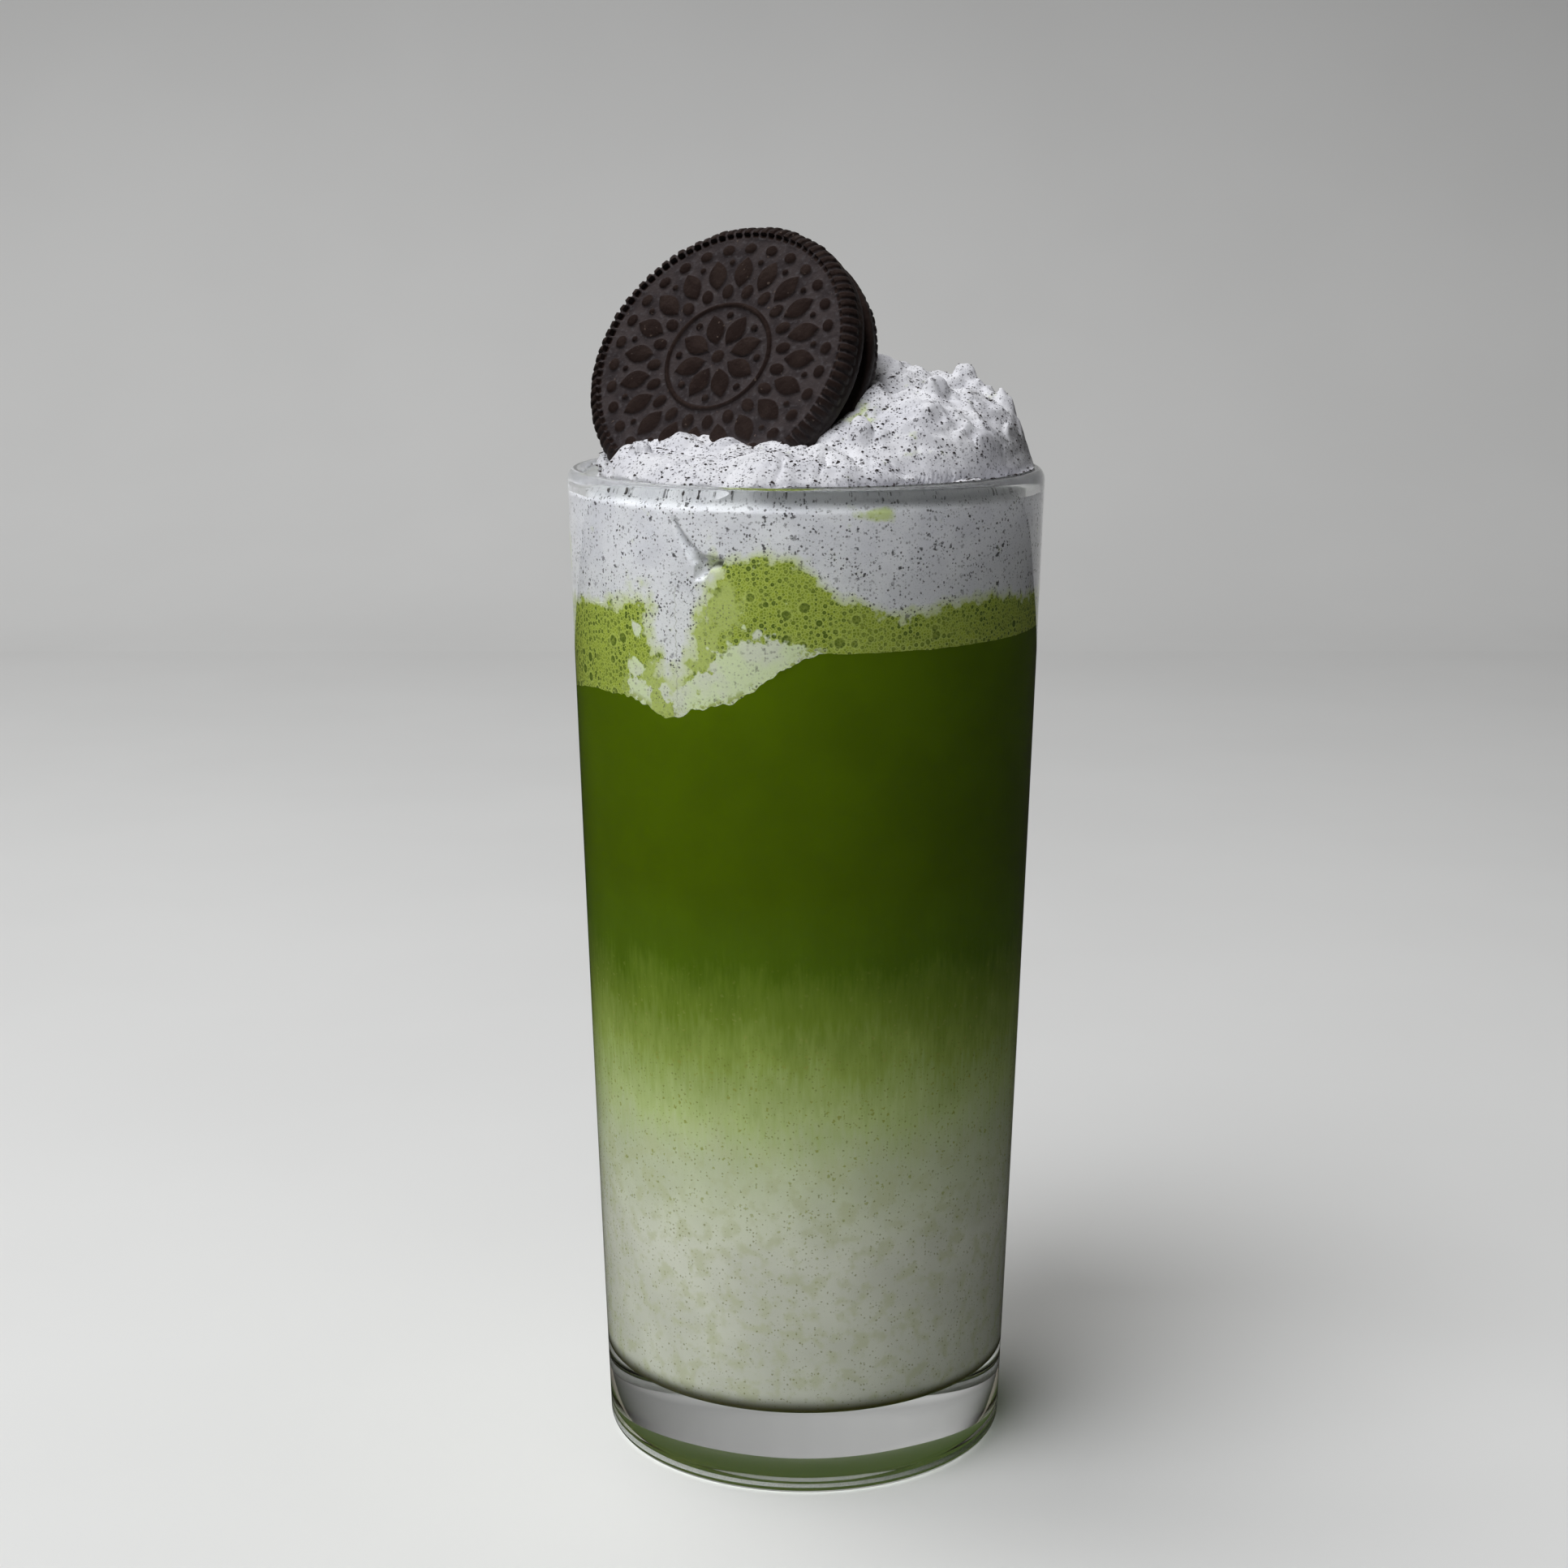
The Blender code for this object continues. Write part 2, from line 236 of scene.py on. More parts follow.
def remap(tree, value, low, high, outLow=0.0, outHigh=1.0, kind="SMOOTHSTEP"):
    return put(tree, "ShaderNodeMapRange", {
        "Value": value, "From Min": low, "From Max": high, "To Min": outLow, "To Max": outHigh,
    }, interpolation_type=kind).outputs["Result"]


def ramp(tree, value, stops):
    node = put(tree, "ShaderNodeValToRGB", {"Fac": value})
    points = node.color_ramp.elements
    while len(points) < len(stops):
        points.new(0.5)
    for point, (place, colour) in zip(points, stops):
        point.position = place
        point.color = (*colour, 1.0)
    return node.outputs["Color"]


def objectCoordinates(tree):
    return put(tree, "ShaderNodeTexCoord").outputs["Object"]


def attributeValue(tree, name):
    return put(tree, "ShaderNodeAttribute", attribute_name=name).outputs["Fac"]


def axes(tree, vector):
    return put(tree, "ShaderNodeSeparateXYZ", {0: vector}).outputs


def vectorNode(tree, operation, inputs):
    return put(tree, "ShaderNodeVectorMath", inputs, operation=operation).outputs[0]


def noiseNode(tree, vector, scale, detail, roughness=0.5):
    return put(tree, "ShaderNodeTexNoise", {
        "Vector": vector, "Scale": scale, "Detail": detail, "Roughness": roughness,
    }).outputs


def flatCells(tree, given, randomness=1.0, feature="F1"):
    return put(tree, "ShaderNodeTexVoronoi", {
        "Vector": given["Vector"], "Scale": given["Scale"], "Randomness": randomness,
    }, voronoi_dimensions="2D", feature=feature).outputs


def cellChance(tree, cells, channel="Red"):
    return put(tree, "ShaderNodeSeparateColor", {"Color": cells["Color"]}).outputs[channel]


# Shared effects as node groups. Each takes a vector.


def startGroup(name, **inputs):
    tree = bpy.data.node_groups.new(name, "ShaderNodeTree")
    tree.interface.new_socket(name="Vector", in_out="INPUT", socket_type="NodeSocketVector")
    for label, value in inputs.items():
        socket = tree.interface.new_socket(name=label, in_out="INPUT",
                                           socket_type="NodeSocketFloat")
        socket.default_value = value
    return tree, tree.nodes.new("NodeGroupInput").outputs


def finishGroup(tree, kind="NodeSocketFloat", **results):
    for label in results:
        tree.interface.new_socket(name=label, in_out="OUTPUT", socket_type=kind)
    out = tree.nodes.new("NodeGroupOutput").inputs
    for label, value in results.items():
        tree.links.new(value, out[label])
    return tree


def makeSpeckGroup():
    # irregular specks of random size: one in each cell, many of them too small to see
    tree, given = startGroup("scatteredSpecks", Scale=900.0, Largest=0.4, Ragged=0.25, Rarity=2.0)
    wobble = noiseNode(tree, given["Vector"], product(tree, given["Scale"], 2.2), 1.0)
    centred = vectorNode(tree, "SUBTRACT", {0: wobble["Color"], 1: (0.5, 0.5, 0.5)})
    reach = mathNode(tree, "DIVIDE", given["Ragged"], given["Scale"])
    moved = vectorNode(tree, "SCALE", {0: centred, "Scale": reach})
    spot = vectorNode(tree, "ADD", {0: given["Vector"], 1: moved})
    cells = put(tree, "ShaderNodeTexVoronoi", {"Vector": spot, "Scale": given["Scale"]}).outputs
    size = mathNode(tree, "POWER", cellChance(tree, cells), given["Rarity"])
    radius = product(tree, size, given["Largest"])
    inner = product(tree, radius, 0.7)
    mask = remap(tree, cells["Distance"], inner, radius, 1.0, 0.0, "LINEAR")
    return finishGroup(tree, Mask=mask)


def makeGrainGroup():
    tree, given = startGroup("fineGrain", Scale=900.0, Detail=3.0)
    coarse = noiseNode(tree, given["Vector"], given["Scale"], given["Detail"])["Fac"]
    fine = noiseNode(tree, given["Vector"], product(tree, given["Scale"], 3.1), 2.0)["Fac"]
    return finishGroup(tree, Value=coarse, Height=addScaled(tree, fine, 0.4, coarse))


def makeWallMapGroup():
    # unrolls the glass: x runs round the wall, y is the height
    tree, given = startGroup("wallMap")
    at = axes(tree, given["Vector"])
    turn = mathNode(tree, "ARCTAN2", at["X"], product(tree, at["Y"], -1.0))
    along = product(tree, turn, wallRadius / 1000.0)
    made = put(tree, "ShaderNodeCombineXYZ", {"X": along, "Y": at["Z"]})
    return finishGroup(tree, "NodeSocketVector", Vector=made.outputs[0])


def makeFrothGroup():
    # packed round bubbles: a dark middle, a light wall round each
    tree, given = startGroup("frothBubbles", Scale=1500.0, Smallest=0.12, Largest=0.5, Rarity=1.5)
    cells = flatCells(tree, given, 0.85)
    size = mathNode(tree, "POWER", cellChance(tree, cells), given["Rarity"])
    spread = mathNode(tree, "SUBTRACT", given["Largest"], given["Smallest"])
    radius = addScaled(tree, size, spread, given["Smallest"])
    share = mathNode(tree, "DIVIDE", cells["Distance"], radius)
    middle = product(tree, remap(tree, share, 1.0, 0.72),
                     remap(tree, share, 0.10, 0.62, 0.72, 1.0))
    wall = product(tree, remap(tree, share, 0.82, 1.04), remap(tree, share, 1.50, 1.08))
    return finishGroup(tree, Middle=middle, Wall=wall)


def makeLaceGroup():
    # thin light walls between packed cells
    tree, given = startGroup("frothLace", Scale=2000.0, Width=0.12)
    gap = flatCells(tree, given, feature="DISTANCE_TO_EDGE")["Distance"]
    wall = remap(tree, gap, 0.0, given["Width"], 1.0, 0.0, "LINEAR")
    return finishGroup(tree, Wall=wall, Random=cellChance(tree, flatCells(tree, given)))


def makeFoldShadeGroup():
    # one wavering upright thin line on the unrolled wall, for painted shade along a fold
    tree, given = startGroup("foldShadeLine", Across=0.0, Low=0.12, High=0.13, Width=0.0001)
    at = axes(tree, given["Vector"])
    waver = put(tree, "ShaderNodeTexNoise", {"W": product(tree, at["Y"], 260.0)},
                noise_dimensions="1D")
    middle = addScaled(tree, waver.outputs["Fac"], 0.0009, given["Across"])
    gap = mathNode(tree, "ABSOLUTE", mathNode(tree, "SUBTRACT", at["X"], middle))
    line = remap(tree, mathNode(tree, "DIVIDE", gap, given["Width"]), 1.0, 0.2)
    above = mathNode(tree, "GREATER_THAN", at["Y"], given["Low"])
    below = mathNode(tree, "LESS_THAN", at["Y"], given["High"])
    return finishGroup(tree, Mask=product(tree, above, below, line))


def makeStreakGroup():
    # vertical threads of one liquid sinking into the other
    tree, given = startGroup("sinkingStreaks", Scale=600.0, Stretch=0.16)
    at = axes(tree, given["Vector"])
    low = product(tree, at["Z"], given["Stretch"])
    squeezed = put(tree, "ShaderNodeCombineXYZ", {"X": at["X"], "Y": at["Y"], "Z": low})
    threads = noiseNode(tree, squeezed.outputs[0], given["Scale"], 3.0, 0.6)
    return finishGroup(tree, Fac=threads["Fac"])


effects = {
    "specks": makeSpeckGroup(),
    "grain": makeGrainGroup(),
    "wallMap": makeWallMapGroup(),
    "froth": makeFrothGroup(),
    "lace": makeLaceGroup(),
    "foldShade": makeFoldShadeGroup(),
    "streaks": makeStreakGroup(),
}


def place(tree, name, vector, **inputs):
    return put(tree, "ShaderNodeGroup", {"Vector": vector, **inputs},
               node_tree=effects[name]).outputs


def grainAt(tree, where, scale, detail):
    return place(tree, "grain", where, Scale=scale, Detail=detail)


def specksAt(tree, where, scale, largest, ragged, rarity):
    return place(tree, "specks", where, Scale=scale, Largest=largest, Ragged=ragged,
                 Rarity=rarity)["Mask"]


def finishSurface(tree, shader, colour, roughness, specular=0.5):
    feed(tree, shader.inputs["Base Color"], colour)
    feed(tree, shader.inputs["Roughness"], roughness)
    shader.inputs["Specular IOR Level"].default_value = specular


def bump(tree, shader, height, strength, distance):
    node = put(tree, "ShaderNodeBump", {"Height": height, "Strength": strength,
                                        "Distance": distance})
    tree.links.new(node.outputs["Normal"], shader.inputs["Normal"])


def grainyMaterial(name, look):
    # two tones mixed by fine grain
    material, tree, shader = newMaterial(name)
    grain = grainAt(tree, objectCoordinates(tree), *look["grain"])
    share = remap(tree, grain["Value"], *look["blend"])
    finishSurface(tree, shader, mixColour(tree, share, *look["tones"]), look["roughness"])
    if look["bump"]:
        bump(tree, shader, grain["Height"], *look["bump"])
    return material


print("room, helpers and node groups ready")

# The glass

glassSize = {
    "height": 0.1485,
    "rimRadius": 0.0350,
    "baseRadius": 0.0303,
    "bulge": 0.00067,
    "wall": 0.0024,
    "floor": 0.0120,
    "floorCorner": 0.0035,
    "footCorner": 0.0018,
    "rimRound": 0.0017,
    "ringInner": 0.0235,
    "punt": 0.0009,
    "puntSlope": 0.0015,
    "columns": 192,
    "intoWall": 0.00016,  # how far the cream reaches into the wall
    "drinkShare": 0.6,  # of that for the drink
    "foamShare": 0.8,
}

glassLook = {
    "tint": (0.985, 0.995, 0.990),
    "ior": 1.50,
    # painted shade under the rim: the colour the glass fades to there, and the heights it fades
    # over
    "rimPaintedShade": (0.80, 0.82, 0.81),
    "rimShadeFade": (0.0030, 0.0016),  # below the top
    "shadowTint": (0.97, 0.98, 0.975),
    "smudge": (70.0, 4.0),  # scale, detail
    "smudgeRoughness": 0.025,
    "ripple": (38.0, 1.0),
}


def outerRadius(z):
    u = z / glassSize["height"]
    return (glassSize["baseRadius"] + (glassSize["rimRadius"] - glassSize["baseRadius"]) * u
            + glassSize["bulge"] * u * (1.0 - u))


def innerRadius(z):
    return outerRadius(z) - glassSize["wall"]


def glassMaterial():
    material, tree, shader = newMaterial("clearGlass")
    look = glassLook
    shader.inputs["IOR"].default_value = look["ior"]
    shader.inputs["Transmission Weight"].default_value = 1.0
    where = objectCoordinates(tree)
    # painted shade: the glass is greyed in a band under the rim, for the rim's shadow band on the
    # cream
    start, full = [glassSize["height"] - below for below in look["rimShadeFade"]]
    rimShade = remap(tree, axes(tree, where)["Z"], start, full)
    colour = mixColour(tree, rimShade, look["tint"], look["rimPaintedShade"])
    smudge = grainAt(tree, where, *look["smudge"])["Value"]
    finishSurface(tree, shader, colour,
                  remap(tree, smudge, 0.52, 0.75, 0.0, look["smudgeRoughness"]))
    bump(tree, shader, grainAt(tree, where, *look["ripple"])["Value"], 0.25, 0.0004)
    # shadows pass through
    clear = put(tree, "ShaderNodeBsdfTransparent", {"Color": (*look["shadowTint"], 1.0)})
    path = put(tree, "ShaderNodeLightPath")
    mix = put(tree, "ShaderNodeMixShader", {
        0: path.outputs["Is Shadow Ray"], 1: shader.outputs[0], 2: clear.outputs[0],
    })
    tree.links.new(mix.outputs[0], tree.nodes["Material Output"].inputs["Surface"])
    return material


def makeGlass():
    size = glassSize
    cornerZ = size["floor"] + size["floorCorner"]
    cornerR = innerRadius(cornerZ) - size["floorCorner"]
    shoulder = size["height"] - size["rimRound"]
    heights = np.linspace(cornerZ, shoulder, 26)[1:-1]
    rimMiddle = outerRadius(shoulder) - size["wall"] / 2
    foot = size["footCorner"]

    profile = [(r, size["floor"]) for r in (0.0, 0.012, 0.020)]
    profile += arc(cornerR, cornerZ, size["floorCorner"], size["floorCorner"], -90, 0, 12)
    profile += [(innerRadius(z), z) for z in heights]
    profile += arc(rimMiddle, shoulder, size["wall"] / 2, size["rimRound"], 180, 0, 22)
    profile += [(outerRadius(z), z) for z in heights[::-1]]
    profile += arc(outerRadius(foot) - foot, foot, foot, foot, 0, -90, 10)
    for share in np.linspace(0.0, 1.0, 7):
        profile.append((size["ringInner"] - size["puntSlope"] * share,
                        size["punt"] * ease(0, 1, share)))
    profile += [(0.012, size["punt"]), (0.0, size["punt"])]
    glass = turnedMesh("tumbler", profile, size["columns"])
    glass.data.materials.append(glassMaterial())
    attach(glass, "root")
    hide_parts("glass")


# The surfaces between the layers. angle is in degrees from the front, positive to the right,
# and reach runs from 0 on the axis to 1 at the wall.

layerSize = {
    "milkTop": 0.0700,
    "matchaTop": 0.1258,
    "matchaDip": 0.0078,
    "foamTop": 0.1306,
    "foamPeak": 0.0079,
    "tongueAngle": -36.5,
    "tongueWidth": 7.5,
    "tongueDepth": 0.0150,
    # heights on the axis
    "matchaMiddle": 0.1238,
    "foamLowMiddle": 0.1236,
    "foamTopMiddle": 0.1316,
    "creamLowMiddle": 0.1314,
    # how far a layer reaches up into the next at the wall, and the least foam over matcha
    "matchaLap": 0.0004,
    "foamLap": 0.0012,
    "leastFoam": 0.0022,
    "leastBelowCream": 0.0006,
    "columns": 480,
}


def wallPoint(angle, z, radius):
    turn = np.radians(angle)
    return np.stack([radius * np.sin(turn), -radius * np.cos(turn), z], axis=-1)


def angleOf(spots):
    return np.degrees(np.arctan2(spots[:, 0], -spots[:, 1]))


def inward(edge, middle, reach):
    return middle + (edge - middle) * ease(0.15, 1.0, reach)


def tongue(angle):
    return hump(layerSize["tongueAngle"], layerSize["tongueWidth"], angle)


def aroundNoise(angle, size, seed):
    # a line of noise that closes round the glass
    ring = wallPoint(angle + 90.0, np.zeros_like(angle), wallRadius / 1000.0)
    return perlin(ring.reshape(-1, 3), size, seed).reshape(np.shape(angle))


def matchaLine(angle):
    size = layerSize
    left = ease(4, -24, angle) * (1.0 - ease(-115, -165, angle))
    tip = 0.0022 * tongue(angle) + 0.0020 * ease(-62, -95, angle) * left
    return size["matchaTop"] - size["matchaDip"] * left - tip


def foamLine(angle):
    size = layerSize
    peak = size["foamPeak"] * ease(-26, -18, angle) * (1.0 - ease(-5, 15, angle))
    ripple = 0.0017 * hump(46, 15, angle) + 0.0014 * hump(-50, 4, angle)
    ripple = ripple + 0.0012 * np.sin(np.radians(3 * angle)) * ease(75, 110, np.abs(angle))
    return size["foamTop"] + peak + ripple - size["tongueDepth"] * tongue(angle)


def columnsAround(count):
    # angles from the front, anticlockwise seen from above, -180 to 180
    return np.linspace(-180.0, 180.0, count, endpoint=False)


def frontColumns(count):
    # columns stand closer together at the front than at the back
    turn = columnsAround(count)
    return turn - 0.42 * np.degrees(np.sin(np.radians(turn)))


def plugRows(bottom, top, side, topRings, sideRows, bottomRings, angle):
    # rows of a plug between two surfaces: out over the top, down the wall, in along the base
    one = np.ones_like(angle)
    high, low = top(angle, one), bottom(angle, one)
    heights = [(top(angle, reach * one), reach) for reach in topRings]
    heights += [(low + (high - low) * share, 1.0) for share in sideRows]
    heights += [(bottom(angle, reach * one), reach) for reach in bottomRings]
    return np.array([wallPoint(angle, z, reach * side(z)) for z, reach in heights])


def makePlug(name, rows, topMiddle, lowMiddle):
    return ringMesh(name, rows, (0, 0, topMiddle), (0, 0, lowMiddle))


# Milk and matcha

drinkLook = {
    # height above the table and colour, up through the blend
    "blend": [
        (0.012, (0.63, 0.645, 0.55)),
        (0.036, (0.67, 0.68, 0.585)),
        (0.050, (0.57, 0.62, 0.42)),
        (0.058, (0.47, 0.56, 0.24)),
        (0.066, (0.29, 0.375, 0.085)),
        (0.073, (0.17, 0.245, 0.028)),
        (0.081, (0.083, 0.145, 0.004)),
        (0.092, (0.070, 0.116, 0.0)),
        (0.126, (0.080, 0.134, 0.0)),
    ],
    # threads in the blend: scale, stretch, strength
    "streaks": ((1500.0, 0.16, 0.60), (150.0, 0.45, 0.70)),
    "streakMiddle": 0.65,
    "streakReach": 0.0144,
    # heights over which something fades in
    "fades": {
        "streakLow": (0.030, 0.060),
        "streakHigh": (0.098, 0.078),
        "milk": (0.086, 0.060),
        "deep": (0.020, 0.064, 0.20, 0.85),
        "blotch": (0.066, 0.046),
        # painted shade along the milk's bottom edge
        "bottomShade": (0.0148, 0.0127),
        "glow": (0.0123, 0.0120),
    },
    "cloud": (95.0, 3.0),  # scale, detail
    "blotches": (420.0, 5.0),
    # olive grains: scale, largest, ragged, rarity
    "grains": (1300.0, 0.40, 0.9, 2.6),
    "dots": (2300.0, 0.44, 0.7, 2.4),
    "bottomShade": (0.060, 0.055, 0.010),
    "grain": (0.30, 0.33, 0.075),
    "speck": (0.17, 0.18, 0.035),
    "blotch": (0.50, 0.53, 0.30),
    "glow": (0.045, 0.070, 0.022),
    "roughness": 0.25,
    "specular": 0.05,
}


def drinkMaterial():
    material, tree, shader = newMaterial("layeredMatchaMilk")
    look = drinkLook
    where = objectCoordinates(tree)
    height = axes(tree, where)["Z"]

    # the threads shift the blend up and down
    fade = {kind: remap(tree, height, *limits) for kind, limits in look["fades"].items()}
    swing = -look["streakMiddle"]
    for scale, stretch, strength in look["streaks"]:
        threads = place(tree, "streaks", where, Scale=scale, Stretch=stretch)
        swing = addScaled(tree, threads["Fac"], strength, swing)
    reach = product(tree, fade["streakLow"], fade["streakHigh"], look["streakReach"])
    low, high = look["blend"][0][0], look["blend"][-1][0]
    share = remap(tree, addScaled(tree, swing, reach, height), low, high, kind="LINEAR")
    colour = ramp(tree, share, [((z - low) / (high - low), tone) for z, tone in look["blend"]])
    cloud = grainAt(tree, where, *look["cloud"])
    cloudy = remap(tree, cloud["Value"], 0.3, 0.7, 0.93, 1.05)
    colour = mixColour(tree, 1.0, colour, cloudy, "MULTIPLY")

    # grains are thick in the blend and thinner in the milk
    blotch = remap(tree, grainAt(tree, where, *look["blotches"])["Value"], 0.46, 0.66, 0.0, 0.5)
    masks = {
        "blotch": product(tree, blotch, fade["blotch"]),
        "grain": product(tree, specksAt(tree, where, *look["grains"]), fade["milk"], fade["deep"]),
        "speck": product(tree, specksAt(tree, where, *look["dots"]), fade["milk"], 0.6),
        # painted shade: the milk turns dark olive along its bottom edge
        "bottomShade": fade["bottomShade"],
    }
    for name, mask in masks.items():
        colour = mixColour(tree, mask, colour, look[name])

    # painted light: the milk's underside glows by emission, for light that has come down through
    # the milk
    glow = mixColour(tree, fade["glow"], (0.0, 0.0, 0.0), look["glow"])
    tree.links.new(glow, shader.inputs["Emission Color"])
    shader.inputs["Emission Strength"].default_value = 1.0
    finishSurface(tree, shader, colour, look["roughness"], look["specular"])
    bump(tree, shader, cloud["Height"], 0.08, 0.0003)
    return material


def drinkSide(z):
    return innerRadius(z) + glassSize["intoWall"] * glassSize["drinkShare"]


def makeMilk(material):
    size = glassSize
    cornerZ = size["floor"] + size["floorCorner"]
    cornerR = innerRadius(cornerZ) - size["floorCorner"]
    into = size["intoWall"] * size["drinkShare"]
    top = layerSize["milkTop"]
    profile = [(r, top) for r in (0.0, 0.010, 0.020)]
    profile += [(drinkSide(z), z) for z in np.linspace(top, cornerZ, 22)[:-1]]
    curve = size["floorCorner"] + into
    profile += arc(cornerR, cornerZ, curve, curve, 0, -90, 12)
    profile += [(r, size["floor"] - into) for r in (0.015, 0.0)]
    milk = turnedMesh("milkLayer", profile, layerSize["columns"] // 2)
    milk.data.materials.append(material)
    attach(milk, "root")
    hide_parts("milk")


def makeMatcha(material):
    size = layerSize

    def top(angle, reach):
        return inward(matchaLine(angle) + size["matchaLap"], size["matchaMiddle"], reach)

    def bottom(angle, reach):
        return np.full_like(angle, size["milkTop"])

    rows = plugRows(bottom, top, drinkSide, np.linspace(0.1, 1.0, 10),
                    np.linspace(1.0, 0.0, 20)[1:-1], (1.0, 0.6, 0.3),
                    columnsAround(size["columns"] // 2))
    matcha = makePlug("matchaLayer", rows, size["matchaMiddle"], size["milkTop"])
    matcha.data.materials.append(material)
    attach(matcha, "root")
    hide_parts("matcha")


# Foam and cream. They run into each other, so both are painted by the same lines on the wall.

frothLook = {
    "froth": (0.310, 0.385, 0.032),
    "cell": (0.165, 0.230, 0.012),
    "pale": (0.46, 0.54, 0.12),
    "bubble": (0.060, 0.100, 0.003),
    "mottle": (0.46, 0.54, 0.16),
    "mint": (0.66, 0.74, 0.47),
    "mintShade": (0.66, 0.69, 0.56),
    "cream": (0.735, 0.735, 0.765),
    "creamShade": (0.66, 0.66, 0.70),
    "creamTint": (0.56, 0.63, 0.28),
    "crumb": (0.030, 0.026, 0.030),
    "dust": (0.33, 0.33, 0.37),
    "smear": (0.50, 0.60, 0.17),
    "drop": (0.50, 0.58, 0.16),
    "foldShade": (0.30, 0.31, 0.24),
    "hole": (0.26, 0.32, 0.02),
    "torn": (430.0, 4.0),  # scale, detail
    "shreds": (900.0, 4.0),
    "cloud": (170.0, 3.0),
    "lace": {"Scale": 2300.0, "Width": 0.30},
    "roughness": 0.5,
    "specular": 0.3,
}

# bubbles in the lace: scale, smallest, largest, rarity, lightness of the ring
bubbleSizes = (
    (1150.0, 0.12, 0.45, 1.1, 0.50),
    (420.0, 0.02, 0.36, 2.4, 0.55),
)

# specks of cookie: scale, largest, ragged, rarity, strength, colour
speckSizes = (
    (4200.0, 0.55, 0.9, 1.3, 0.45, "dust"),
    (2500.0, 0.58, 0.7, 1.6, 0.85, "crumb"),
    (1050.0, 0.46, 0.9, 2.6, 0.9, "crumb"),
)

# how noise tears the edge of a mask: coarse share, fine share, start, full, most
tornEdges = {
    "veins": (0.0, 2.0, 1.30, 1.90, 0.8),
    "mint": (1.9, 0.9, 1.84, 2.02, 1.0),
    "tint": (0.8, 0.0, 0.50, 0.92, 0.9),
    "foam": (1.1, 0.5, 1.22, 1.36, 1.0),
    "stain": (2.2, 0.0, 1.42, 2.10, 0.8),
}

# painted shade along folds down the cream, as thin lines: metres round the wall, low end, high
# end, width
foldShadeLines = ((-0.0194, 0.1175, 0.1345, 0.00013), (-0.0145, 0.1295, 0.1345, 0.00013))

# where cream gives way to foam on the wall: degrees from the front, height in mm
creamLine = (
    (-180, 130.6), (-140, 131.4), (-105, 129.6), (-85, 129.2), (-67, 130.1), (-57, 130.0),
    (-52, 130.9), (-48, 131.8), (-45, 129.6), (-41.5, 126.2), (-39, 122.6), (-36, 120.6),
    (-32, 121.0), (-29, 124.4), (-26, 129.0), (-24, 133.0), (-22, 136.4), (-18, 137.9),
    (-12, 138.6), (-6.6, 138.8), (-2, 137.8), (2, 135.4), (6, 133.4), (12, 132.1),
    (18.5, 130.4), (25, 130.1), (34, 130.8), (41, 132.0), (50, 132.2), (58, 131.3),
    (73, 130.5), (100, 131.8), (140, 129.6), (180, 130.6),
)

# top of the pale wedge between the foam and the matcha
wedgeLine = (
    (-180, 100), (-40, 100), (-36, 114.5), (-33, 120.2), (-30.4, 121.4), (-23.4, 124.2),
    (-16.9, 128.0), (-12.3, 128.5), (-6.3, 127.3), (0, 126.2), (5, 125.2), (10, 123), (16, 100),
    (180, 100),
)

# width of the fades that the noise tears, in mm
wallFades = {
    "foam": 5.0,
    "tongue": 5.0,  # more at the tongue
    "wedge": 4.0,
    "lowEdge": (1.6, 0.3),
}

# patches on the wall: degrees, height in mm, half width and half height in mm
wallPatches = {
    "cream": (
        (-46.8, 122.3, 1.6, 1.5), (-45.2, 118.9, 2.1, 2.6), (-34.5, 119.6, 2.2, 1.6),
        (-46.0, 127.9, 1.0, 0.9),
    ),
    "mottle": (
        (-41.0, 118.5, 6.0, 4.2), (-27.0, 127.5, 3.2, 6.0), (-37.0, 121.5, 5.0, 2.5),
        (-20.0, 131.5, 2.6, 3.6),
    ),
    "smooth": ((-20.6, 135.7, 1.9, 2.3),),
    "smear": ((17.0, 144.9, 2.7, 1.1), (-85.5, 136.6, 1.3, 3.2)),
}

# where the cream has pulled away from the glass: degrees, height in mm
pocketOutline = (
    (-33.6, 144.0), (-30.8, 141.9), (-28.2, 140.2), (-25.4, 138.9), (-21.2, 138.5),
    (-17.0, 138.2), (-20.8, 137.5), (-23.6, 137.2), (-24.8, 136.0), (-27.6, 135.7),
    (-27.6, 137.8), (-29.4, 139.0), (-31.6, 141.2),
)


def lineHeight(line, angle):
    places, heights = np.array(line).T
    return np.interp(angle, places, heights)


def patchAmount(kind, angle, height):
    amount = np.zeros_like(height)
    for turn, middle, wide, tall in wallPatches[kind]:
        across = np.radians(angle - turn) * wallRadius / wide
        along = (height - middle) / tall
        amount = np.maximum(amount, np.clip(1.5 - np.hypot(across, along), 0.0, 1.0))
    return amount


def outlineDepth(outline, angle, height):
    # distance in mm inside a closed outline, negative outside
    x, y = np.radians(angle) * wallRadius, height
    corners = [(math.radians(a) * wallRadius, h) for a, h in outline]
    gap = np.full_like(height, 1e9)
    inside = np.zeros(height.shape, dtype=bool)
    for (x0, y0), (x1, y1) in zip(corners, corners[1:] + corners[:1]):
        length = (x1 - x0) ** 2 + (y1 - y0) ** 2
        t = np.clip(((x - x0) * (x1 - x0) + (y - y0) * (y1 - y0)) / length, 0.0, 1.0)
        gap = np.minimum(gap, np.hypot(x - x0 - t * (x1 - x0), y - y0 - t * (y1 - y0)))
        crosses = (y0 > y) != (y1 > y)
        inside ^= crosses & (x < x0 + (x1 - x0) * (y - y0) / np.where(y1 == y0, 1.0, y1 - y0))
    return np.where(inside, gap, -gap)


